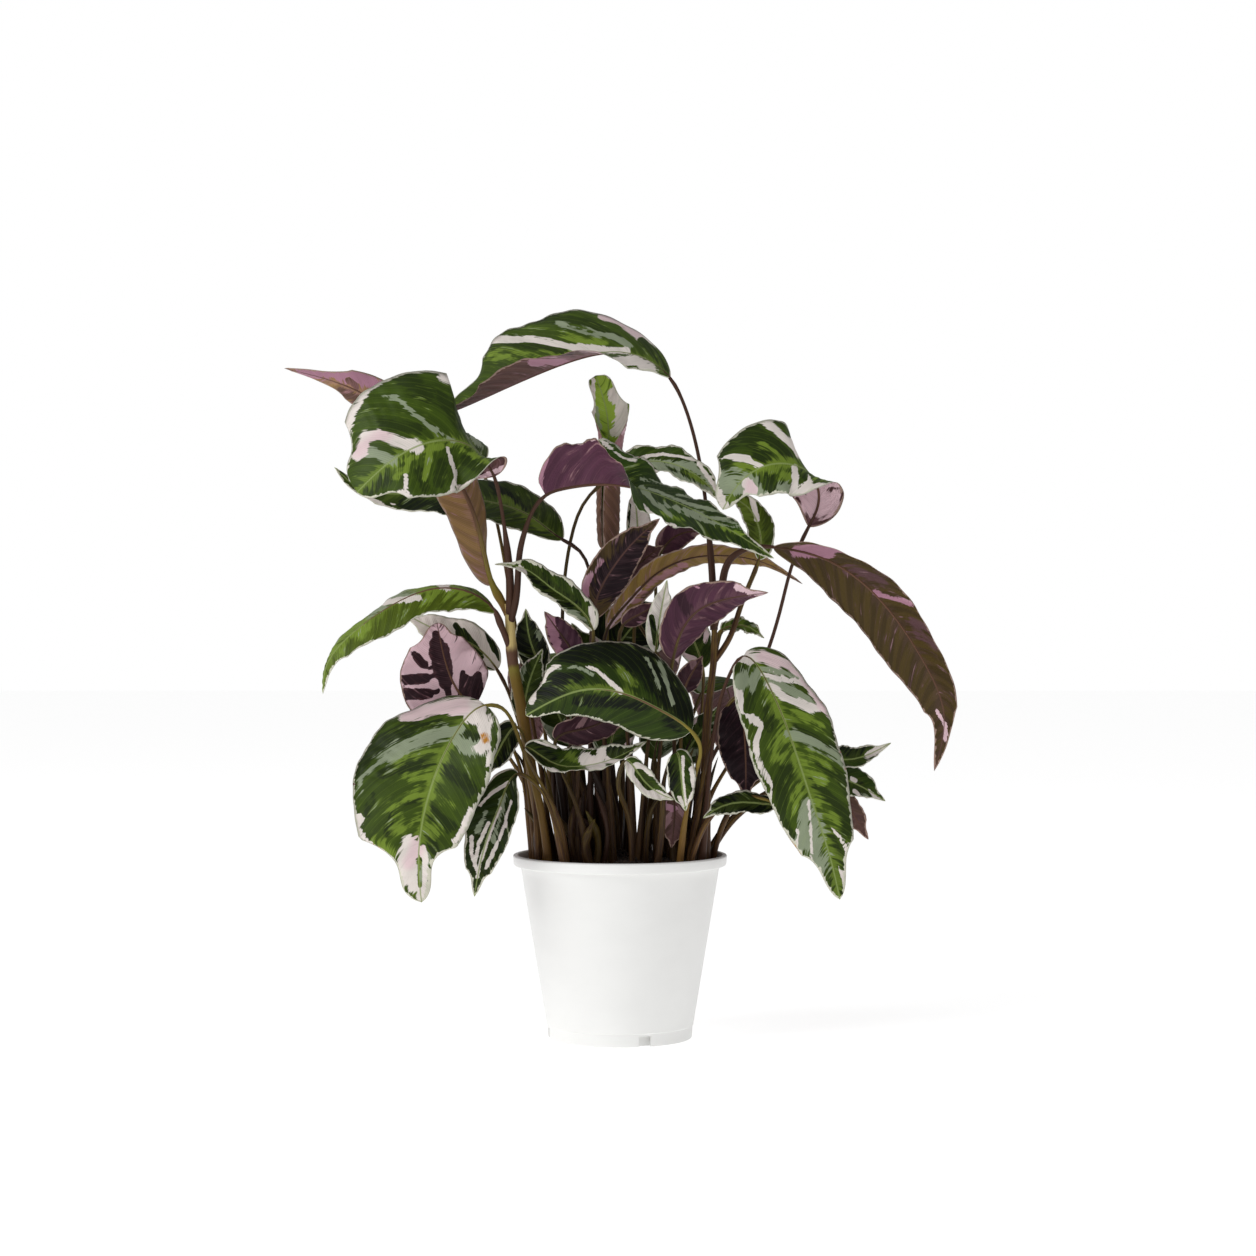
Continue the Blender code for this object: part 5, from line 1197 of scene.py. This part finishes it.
def leafMaterial(name, looks):
    made, tree, shader = startMaterial(name, looks["roughness"])
    q, gap, seed = threeOf(tree, "veinMap")
    edge, rim, t = threeOf(tree, "marginMap")
    white, sage, dark = threeOf(tree, "toneMap")
    light, burnt, lilac = threeOf(tree, "touchMap")
    # Warmth, brightness and vein strength; the brightness is partly the leaf's own tone and partly painted
    # light and shade.
    warmth, toneAndPaintedLight, lines = threeOf(tree, "tintMap")
    shader.inputs["Specular IOR Level"].default_value = looks["shine"]

    def lay(amount, under, tone):
        return blend(tree, amount, under, colour(*looks[tone]))

    noises = {kind: leafNoise(tree, kind, q, gap, seed) for kind in leafNoises}
    streaks, fine, wide = noises["streaks"], noises["fine"], noises["wide"]
    broken = 0.0
    for kind, depth in finish["broken"].items():
        part = ramp(tree, noises[kind], *finish["brokenCut"], -depth, depth)
        broken = calc(tree, "ADD", broken, part)

    # Green with dark bands between the veins and dark strokes.
    bands = calc(tree, "SINE", calc(tree, "ADD", scaled(tree, q, finish["bandWaves"]),
                                    scaled(tree, wide, finish["bandSway"])))
    banded = ramp(tree, calc(tree, "ADD", bands, scaled(tree, fine, *finish["bandGrain"])),
                  *finish["bandCut"])
    deep = calc(tree, "MAXIMUM", scaled(tree, banded, looks["bands"]), cutTone(tree, "dark", dark, broken))
    deep = calc(tree, "MULTIPLY", deep, ramp(tree, toneAndPaintedLight, *finish["brightCut"], 1.0, looks["palest"]))
    base = lay(deep, lay(warmth, colour(*looks["green"]), "warm"), "dark")

    # A light feather along the midrib, light strokes, and a thread of light on each vein.
    feather = scaled(tree, ramp(tree, streaks, *finish["featherCut"]), *finish["featherSlope"])
    feathered = ramp(tree, calc(tree, "DIVIDE", gap, feather), *finish["featherFade"])
    lit = calc(tree, "MAXIMUM", calc(tree, "MULTIPLY", feathered, lines),
               cutTone(tree, "light", light, broken, finish["lightMost"]))
    base = lay(lit, base, "light")
    veins = scaled(tree, q, 2 * math.pi / leafMake["veinGap"], finish["threadPhase"])
    thread = ramp(tree, calc(tree, "SINE", veins), *finish["threadCut"])
    # The colour so far is scaled by the leaf's brightness, which holds painted shade for leaves in shadow
    # and painted light for well-lit ones.
    base = shade(tree, lay(scaled(tree, thread, looks["veins"]), base, "light"), toneAndPaintedLight)

    # Sage, then white or lilac with sage specks, where the dark strokes leave room for it.
    base = lay(scaled(tree, cutTone(tree, "sage", sage, broken), finish["sageMost"]), base, "sage")
    pink = ramp(tree, calc(tree, "ADD", lilac, scaled(tree, wide, *finish["lilacSlope"])),
                *finish["lilacCut"])
    pale = lay(pink, colour(*looks["white"]), "lilac")
    pale = lay(ramp(tree, fine, *finish["speckCut"], 0.0, finish["speckMost"]), pale, "sage")
    kept = calc(tree, "SUBTRACT", white,
                scaled(tree, ramp(tree, dark, *finish["darkCut"]), finish["darkOverWhite"]))
    base = blend(tree, cutTone(tree, "white", kept, broken), base, pale)

    # The margin, the midrib and the burnt patches.
    rimWidth = calc(tree, "MULTIPLY", rim, scaled(tree, streaks, *finish["rimSlope"]))
    base = lay(ramp(tree, calc(tree, "SUBTRACT", edge, rimWidth), *finish["rimCut"]), base, "rim")
    ribWidth = scaled(tree, t, *finish["ribSlope"])
    base = lay(ramp(tree, calc(tree, "SUBTRACT", gap, ribWidth), *finish["ribCut"], 0.0,
                    finish["ribMost"]), base, "rib")
    scorched = calc(tree, "MULTIPLY", ramp(tree, burnt, *finish["burntFrom"]),
                    calc(tree, "ADD", burnt, scaled(tree, broken, finish["burntBreak"])))
    base = lay(ramp(tree, scorched, *finish["burntCut"]), base, "burnt")
    base = shade(tree, base, scaled(tree, wide, *finish["cloudSlope"]))
    tree.links.new(base, shader.inputs["Base Color"])
    tree.links.new(scaled(tree, fine, finish["gloss"], looks["roughness"] - finish["gloss"] / 2),
                   shader.inputs["Roughness"])
    ridges = calc(tree, "SINE", scaled(tree, q, 2 * math.pi / finish["ridgeLength"]))
    bumped(tree, shader, calc(tree, "ADD", scaled(tree, ridges, finish["ridgeHeight"]), fine),
           *finish["bump"])
    return made


# Stalk colours, each laid over the ones before it from the first to the second value of its cut. Past 1 a
# stalk goes on as the midrib, and past 2 is the cream collar. The maroon's cut is one of warmth.
stalkLooks = {
    "foot": (110, 80, 38), "middle": (116, 94, 36), "top": (124, 112, 46), "rib": (96, 68, 52),
    "maroon": (68, 44, 32), "cream": (204, 182, 120), "roughness": 0.5, "shine": 0.2,
    "cuts": {"middle": (0.1, 0.6), "top": (0.5, 1.0), "maroon": (0.75, 1.15), "rib": (1.0, 1.3),
             "cream": (2.0, 2.5)},
    "streaks": (4.0, 0.6), "streakSlope": (0.5, -0.25), "bump": (0.4, 0.0004),
}


def stalkMaterial():
    # Dark at the foot and olive under the blade, streaked along its length.
    made, tree, shader = startMaterial("leafStalk", stalkLooks["roughness"])
    shader.inputs["Specular IOR Level"].default_value = stalkLooks["shine"]
    share, toneAndPaintedLight, warm = threeOf(tree, "stalkMap")
    grain = tree.nodes.new("ShaderNodeAttribute")
    grain.attribute_name = "grainMap"
    streaks = noise(tree, grain.outputs["Vector"], *stalkLooks["streaks"])
    rise = calc(tree, "ADD", share, scaled(tree, streaks, *stalkLooks["streakSlope"]))
    warmth = calc(tree, "ADD", warm, streaks)
    base = colour(*stalkLooks["foot"])
    for tone, cut in stalkLooks["cuts"].items():
        here = ramp(tree, warmth if tone == "maroon" else rise, *cut)
        base = blend(tree, here, base, colour(*stalkLooks[tone]))
    # Each stalk's colour is scaled by its brightness, which holds the painted shade of the stalks in the
    # middle of the clump.
    tree.links.new(shade(tree, base, toneAndPaintedLight), shader.inputs["Base Color"])
    bumped(tree, shader, streaks, *stalkLooks["bump"])
    return made


print("Leaves")
leafMaterials = [leafMaterial("leafUpper", upperLooks), leafMaterial("leafLower", lowerLooks),
                 stalkMaterial()]
shellsOf = {name: [stemShell(spec, number * 11)] for number, (name, spec) in enumerate(stemShapes.items())}
for name, spec in leafShapes.items():
    shellsOf.setdefault(spec["stem"] or name, []).extend(leafShells(spec))
for name, shells in shellsOf.items():
    piece = joined(name + "_dressed", shells, leafMaterials)
    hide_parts(name)
    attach(piece, "root")

# Young stalks and rolled leaves between the grown ones, drawn at random, from the soil up. They leave a
# clearing to the right of the middle.
# shade darkens each young stalk's colour by a factor: painted shade between the grown stalks.
youngStalks = {
    "count": 74, "seed": 21, "turn": (-1.1, 4.2), "shade": (0.28, 0.75), "tallBehind": 0.6,
    "clearing": 40, "spread": (20, 58), "height": (30, 92), "radius": (1.3, 2.6), "lean": 0.3,
    "bend": 7, "sides": 10, "rows": 26,
}


def youngShell(rng):
    # A stalk that leans outwards, bends a little, thickens past its middle and closes to a point.
    turn, reach = rng.uniform(*youngStalks["turn"]), rng.uniform(*youngStalks["spread"])
    foot = np.array((math.cos(turn), math.sin(turn), 0)) * reach
    foot[0] -= youngStalks["clearing"] * (0 < foot[0] < youngStalks["clearing"] - 6)
    height, radius = rng.uniform(*youngStalks["height"]), rng.uniform(*youngStalks["radius"])
    height *= 1 + youngStalks["tallBehind"] * max(math.sin(turn), 0)
    rise = np.linspace(0, 1, youngStalks["rows"])
    sway = rng.normal(0, youngStalks["bend"], 2)
    points = foot * (1 + youngStalks["lean"] * rise[:, None] ** 2 * height / 90)
    points[:, :2] += np.sin(math.pi * rise)[:, None] * sway
    points[:, 2] = leafMake["footHeight"] + rise * height
    radii = radius * (1.25 - 0.5 * rise + 0.35 * np.exp(-((rise - 0.72) / 0.12) ** 2))
    radii *= np.sqrt(np.clip((1.001 - rise) / 0.22, 0, 1))
    vertices, faces, uv, attributes = tubeShell(
        points * mm, radii * mm, youngStalks["sides"], rng.uniform(0, 90), 0.9 * rise, rng.uniform(0.3, 1),
        rng.uniform(*youngStalks["shade"]))
    return vertices, faces, np.full(len(faces), 2), uv, attributes


rng = np.random.default_rng(youngStalks["seed"])
youngPiece = joined("young_stalks", [youngShell(rng) for _ in range(youngStalks["count"])], leafMaterials)
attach(youngPiece, "root")

# The pot, turned about its axis. Radii and heights are millimetres.
potShape = {
    "steps": 160, "rimRadius": 75, "rimTop": 128, "neckRadius": 69.8, "neckHeight": 120.5,
    "footRadius": 51.5, "footStep": 9.5, "wall": 1.6, "floor": 2, "grooveOuter": 48.6, "grooveInner": 44,
    "grooveTop": 8, "notchAngles": (20, 110, 190, 280), "notchWidth": 9, "notchDepth": 6,
    "ringHeights": (95, 98), "ringDepth": 0.12,
}


def wallRadius(height):
    share = (height - potShape["footStep"]) / (potShape["neckHeight"] - potShape["footStep"])
    return potShape["footRadius"] + (potShape["neckRadius"] - potShape["footRadius"]) * share


def potProfile():
    # Radius and height round the wall's section, from the middle of the floor inside to its middle below.
    rim, top, neck, wall = (potShape[key] for key in ("rimRadius", "rimTop", "neckHeight", "wall"))
    inner = potShape["footStep"] + 0.5
    outerUp = np.linspace(neck, potShape["footStep"] + 0.6, 60)
    rings = sum(np.exp(-((outerUp - ring) / 0.5) ** 2) for ring in potShape["ringHeights"])
    outside = np.stack((wallRadius(outerUp) - potShape["ringDepth"] * rings, outerUp), axis=1)
    innerUp = np.linspace(inner, neck, 24)
    inside = np.stack((wallRadius(innerUp) - wall, innerUp), axis=1)
    foot, step, floor = (potShape[key] for key in ("footRadius", "footStep", "floor"))
    groove, core, roof = (potShape[key] for key in ("grooveOuter", "grooveInner", "grooveTop"))
    return np.concatenate((
        ((0, floor), (core - wall, floor), (core - wall, inner)), inside,
        ((rim - 4.6, neck + 0.9), (rim - 4.3, neck + 2), (rim - 4, top - 1.2), (rim - 3.6, top - 0.4),
         (rim - 3, top), (rim - 1.2, top), (rim - 0.5, top - 0.3), (rim - 0.1, top - 0.9),
         (rim - 0.1, top - 1.6), (rim - 0.5, neck + 1.2), (rim - 0.8, neck + 0.5),
         (rim - 1.4, neck + 0.1), (rim - 3.6, neck)),
        outside,
        ((foot, step), (foot - 0.7, step - 0.5), (foot - 0.9, 4), (foot - 1.1, 0.5), (foot - 1.5, 0),
         (groove, 0), (groove, roof), (core, roof), (core, 0), (0, 0))))


def turnedFaces(steps, count):
    # Faces of a body turned about Z: each step has a column of count points, and the poles of its top and
    # its foot come after them all.
    i, j = np.meshgrid(np.arange(steps), np.arange(count - 1), indexing="ij")
    after = (i + 1) % steps
    walls = np.stack((i * count + j, after * count + j, after * count + j + 1, i * count + j + 1), axis=-1)
    i = np.arange(steps)
    after = (i + 1) % steps
    upperPole, lowerPole = np.full(steps, steps * count), np.full(steps, steps * count + 1)
    upperFan = np.stack((upperPole, after * count, i * count), axis=-1)
    lowerFan = np.stack((lowerPole, i * count + count - 1, after * count + count - 1), axis=-1)
    return walls.reshape(-1, 4).tolist() + upperFan.tolist() + lowerFan.tolist()


def turnedMesh(name, profile, steps, materials):
    # The profile, of radii and heights, carried round Z. Its first and last points are the poles.
    angle = np.linspace(0, 2 * math.pi, steps, endpoint=False)
    body = profile[1:-1] * mm
    ring = np.stack((np.sin(angle)[:, None] * body[:, 0], -np.cos(angle)[:, None] * body[:, 0],
                     np.ones(steps)[:, None] * body[:, 1]), axis=-1)
    ends = np.array(((0, 0, profile[0, 1]), (0, 0, profile[-1, 1]))) * mm
    vertices = np.concatenate((ring.reshape(-1, 3), ends))
    faces = turnedFaces(steps, len(body))
    made = meshObject(name, vertices, faces, materials, np.zeros(len(faces), int))
    tidyNormals(made)
    return made


def tidyNormals(piece):
    held = bmesh.new()
    held.from_mesh(piece.data)
    bmesh.ops.recalc_face_normals(held, faces=held.faces)
    held.to_mesh(piece.data)
    held.free()


def applied(piece, sharpAngle=None):
    # The piece with its modifiers made part of its mesh.
    graph = bpy.context.evaluated_depsgraph_get()
    mesh = bpy.data.meshes.new_from_object(piece.evaluated_get(graph))
    piece.modifiers.clear()
    piece.data = mesh
    if sharpAngle is not None:
        mesh.set_sharp_from_angle(angle=math.radians(sharpAngle))
    return piece


potLooks = {
    "white": (238, 238, 236), "grey": (236, 236, 234), "roughness": 0.42, "grain": (900, 900, 900),
    "cloud": (30, 30, 55), "greyCut": (0.35, 0.7), "gloss": 0.04, "bump": (0.06, 0.0002),
}


def solidNoise(tree, scale, detail=2.0, roughness=0.5):
    # Noise through the body of a piece: scale is how many waves there are to a metre along X, Y and Z.
    where = tree.nodes.new("ShaderNodeTexCoord").outputs["Object"]
    stretched = tree.nodes.new("ShaderNodeVectorMath")
    stretched.operation = "MULTIPLY"
    tree.links.new(where, stretched.inputs[0])
    stretched.inputs[1].default_value = scale
    return noise(tree, stretched.outputs[0], detail, roughness)


def potMaterial():
    made, tree, shader = startMaterial("whitePlastic", potLooks["roughness"])
    grain = solidNoise(tree, potLooks["grain"], 3.0)
    cloud = solidNoise(tree, potLooks["cloud"], 3.0)
    base = blend(tree, ramp(tree, cloud, *potLooks["greyCut"]), colour(*potLooks["white"]),
                 colour(*potLooks["grey"]))
    tree.links.new(base, shader.inputs["Base Color"])
    tree.links.new(scaled(tree, cloud, potLooks["gloss"], potLooks["roughness"] - potLooks["gloss"] / 2),
                   shader.inputs["Roughness"])
    bumped(tree, shader, grain, *potLooks["bump"])
    return made


print("Pot")
pot = turnedMesh("pot_turned", potProfile(), potShape["steps"], [potMaterial()])
notches = []
for angle in potShape["notchAngles"]:
    turn = math.radians(angle)
    reach = (potShape["grooveOuter"] + 1.6) * mm
    bpy.ops.mesh.primitive_cube_add(size=1, location=(math.sin(turn) * reach, -math.cos(turn) * reach, 0),
                                    rotation=(0, 0, turn))
    notch = bpy.context.active_object
    notch.scale = [value * mm for value in (potShape["notchWidth"], potShape["notchDepth"],
                                            2 * potShape["grooveTop"] - 1)]
    cut = pot.modifiers.new("Notch", "BOOLEAN")
    cut.operation = "DIFFERENCE"
    cut.solver = "EXACT"
    cut.object = notch
    notches.append(notch)
applied(pot, 32)
for notch in notches:
    bpy.data.objects.remove(notch)
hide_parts("pot")
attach(pot, "root")

# The potting soil: a mound that rolls, with crumbs. Millimetres.
soilShape = {
    "steps": 300, "rings": 90, "edgeHeight": 121, "crown": 4, "mound": (17, 8, 12, 3.5), "inset": 2.15,
    "crumbs": 2600, "crumbSize": (0.5, 1.9), "floor": 2.3, "ledge": 10.3, "seed": 5,
    "waves": ((26, 1.1), (14, 0.9), (8, 0.8), (5, 0.6), (3.1, 0.45), (2, 0.3)),
}


def soilTop(x, y):
    # Height over the edge: a swell in the middle, a mound, and waves that get shorter and lower.
    edge = wallRadius(soilShape["edgeHeight"]) - soilShape["inset"]
    reach = np.hypot(x, y) / edge
    middleX, middleY, radius, rise = soilShape["mound"]
    height = soilShape["crown"] * (1 - reach ** 2)
    height = height + rise * np.exp(-((x - middleX) ** 2 + (y - middleY) ** 2) / radius ** 2)
    rng = np.random.default_rng(soilShape["seed"])
    for length, depth in soilShape["waves"]:
        for _ in range(4):
            way = rng.uniform(0, 2 * math.pi)
            height = height + depth * 0.6 * np.sin(
                2 * math.pi * (x * math.cos(way) + y * math.sin(way)) / length + rng.uniform(0, 6))
    return height * np.clip(4 * (1 - reach), 0.15, 1)


def soilMesh():
    # Rings of the top, at the height that soilTop gives, then the side and the step into the pot's foot.
    edge = wallRadius(soilShape["edgeHeight"]) - soilShape["inset"]
    k = np.linspace(0, 1, soilShape["rings"])[1:] ** 0.9
    angle = np.linspace(0, 2 * math.pi, soilShape["steps"], endpoint=False)
    x, y = (edge * k[None, :] * np.sin(angle)[:, None], -edge * k[None, :] * np.cos(angle)[:, None])
    top = np.stack((x, y, soilShape["edgeHeight"] + soilTop(x, y)), axis=-1)
    lower = np.array(((wallRadius(soilShape["ledge"]) - soilShape["inset"], soilShape["ledge"]),
                      (potShape["grooveInner"] - 1.9, soilShape["ledge"]),
                      (potShape["grooveInner"] - 1.9, soilShape["floor"])))
    under = np.stack((np.sin(angle)[:, None] * lower[:, 0], -np.cos(angle)[:, None] * lower[:, 0],
                      np.ones((len(angle), 1)) * lower[:, 1]), axis=-1)
    grid = np.concatenate((top, under), axis=1)
    steps, count = grid.shape[:2]
    ends = np.array(((0, 0, soilShape["edgeHeight"] + soilTop(0.0, 0.0)), (0, 0, soilShape["floor"])))
    vertices = np.concatenate((grid.reshape(-1, 3), ends)) * mm
    return vertices, turnedFaces(steps, count)


def crumbShells():
    # Crumbs are eight-faced lumps pulled out of shape, laid on the soil's top.
    rng = np.random.default_rng(soilShape["seed"] + 1)
    count = soilShape["crumbs"]
    edge = wallRadius(soilShape["edgeHeight"]) - soilShape["inset"] - 2
    reach, way = edge * np.sqrt(rng.uniform(0, 1, count)), rng.uniform(0, 2 * math.pi, count)
    x, y = reach * np.sin(way), reach * np.cos(way)
    size = rng.uniform(0, 1, count) ** 3 * (soilShape["crumbSize"][1] - soilShape["crumbSize"][0])
    size += soilShape["crumbSize"][0]
    corners = np.array(((1, 0, 0), (0, 1, 0), (-1, 0, 0), (0, -1, 0), (0, 0, 1), (0, 0, -1)), float)
    turn = rng.uniform(0, 2 * math.pi, count)
    shape = corners[None] * size[:, None, None] * rng.uniform(0.55, 1.3, (count, 6, 1))
    turnedX = shape[..., 0] * np.cos(turn)[:, None] - shape[..., 1] * np.sin(turn)[:, None]
    turnedY = shape[..., 0] * np.sin(turn)[:, None] + shape[..., 1] * np.cos(turn)[:, None]
    height = soilShape["edgeHeight"] + soilTop(x, y) + size * 0.25
    vertices = np.stack((turnedX + x[:, None], turnedY + y[:, None], shape[..., 2] + height[:, None]),
                        axis=-1)
    faces = np.array(((0, 1, 4), (1, 2, 4), (2, 3, 4), (3, 0, 4), (1, 0, 5), (2, 1, 5), (3, 2, 5),
                      (0, 3, 5)))
    faces = faces[None] + 6 * np.arange(count)[:, None, None]
    return vertices.reshape(-1, 3) * mm, faces.reshape(-1, 3)


soilLooks = {
    "dark": (26, 18, 13), "brown": (62, 46, 34), "roughness": 0.92, "grain": (420, 420, 420),
    "brownCut": (0.35, 0.7), "bump": (0.8, 0.0012),
}


def soilMaterial():
    made, tree, shader = startMaterial("pottingSoil", soilLooks["roughness"])
    grain = solidNoise(tree, soilLooks["grain"], 5.0, 0.65)
    base = blend(tree, ramp(tree, grain, *soilLooks["brownCut"]), colour(*soilLooks["dark"]),
                 colour(*soilLooks["brown"]))
    tree.links.new(base, shader.inputs["Base Color"])
    bumped(tree, shader, grain, *soilLooks["bump"])
    return made


print("Soil")
soilPoints, soilFaces = soilMesh()
crumbPoints, crumbFaces = crumbShells()
soilFaces += (crumbFaces + len(soilPoints)).tolist()
soil = meshObject("soil_crumbled", np.concatenate((soilPoints, crumbPoints)), soilFaces, [soilMaterial()],
                  np.zeros(len(soilFaces), int))
tidyNormals(soil)
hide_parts("soil")
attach(soil, "root")

# The floor, the light and the camera.
stageShape = {
    "floor": (240, 240, 240), "floorSize": 16, "glow": 0.62, "world": 0.4, "lampSize": 1.4,
    "lampTarget": (0, 0, 0.25),
    "lamps": {"keyLight": ((-1.8, -1.0, 1.5), 25), "fillLight": ((1.5, -1.2, 0.9), 2)},
}


def areaLight(name, place, power):
    light = bpy.data.lights.new(name, "AREA")
    light.shape = "DISK"
    light.size = stageShape["lampSize"]
    light.energy = power
    lamp = bpy.data.objects.new(name, light)
    lamp.location = place
    way = Vector(stageShape["lampTarget"]) - lamp.location
    lamp.rotation_euler = way.to_track_quat("-Z", "Y").to_euler()
    bpy.context.scene.collection.objects.link(lamp)


print("Stage")
bpy.ops.mesh.primitive_plane_add(size=stageShape["floorSize"])
floor = bpy.context.active_object
floor.name = "floor"
floorFinish, floorTree, floorShader = startMaterial("paleFloor", 0.7)
floorShader.inputs["Base Color"].default_value = colour(*stageShape["floor"])
floor.data.materials.append(floorFinish)
floorShader.inputs["Emission Color"].default_value = (1, 1, 1, 1)
floorShader.inputs["Emission Strength"].default_value = stageShape["glow"]
world = bpy.data.worlds.new("paleRoom")
world.use_nodes = True
sky = world.node_tree
lighting = sky.nodes["Background"]
lighting.inputs[0].default_value = (1, 1, 1, 1)
lighting.inputs[1].default_value = stageShape["world"]
backdrop = sky.nodes.new("ShaderNodeBackground")
backdrop.inputs[0].default_value = (1, 1, 1, 1)
seen = sky.nodes.new("ShaderNodeMixShader")
sky.links.new(sky.nodes.new("ShaderNodeLightPath").outputs["Is Camera Ray"], seen.inputs[0])
sky.links.new(lighting.outputs[0], seen.inputs[1])
sky.links.new(backdrop.outputs[0], seen.inputs[2])
sky.links.new(seen.outputs[0], sky.nodes["World Output"].inputs["Surface"])
bpy.context.scene.world = world
for name, (place, power) in stageShape["lamps"].items():
    areaLight(name, place, power)
bpy.context.scene.view_settings.view_transform = "Standard"

lens = bpy.data.cameras.new("camera")
lens.sensor_width = eye["sensor"]
lens.lens = eye["lens"]
camera = bpy.data.objects.new("camera", lens)
camera.location = (eye["across"], -eye["distance"], eye["height"])
camera.rotation_euler = (math.radians(90 - eye["tilt"]), 0, 0)
bpy.context.scene.collection.objects.link(camera)
bpy.context.scene.camera = camera

bpy.context.view_layer.update()
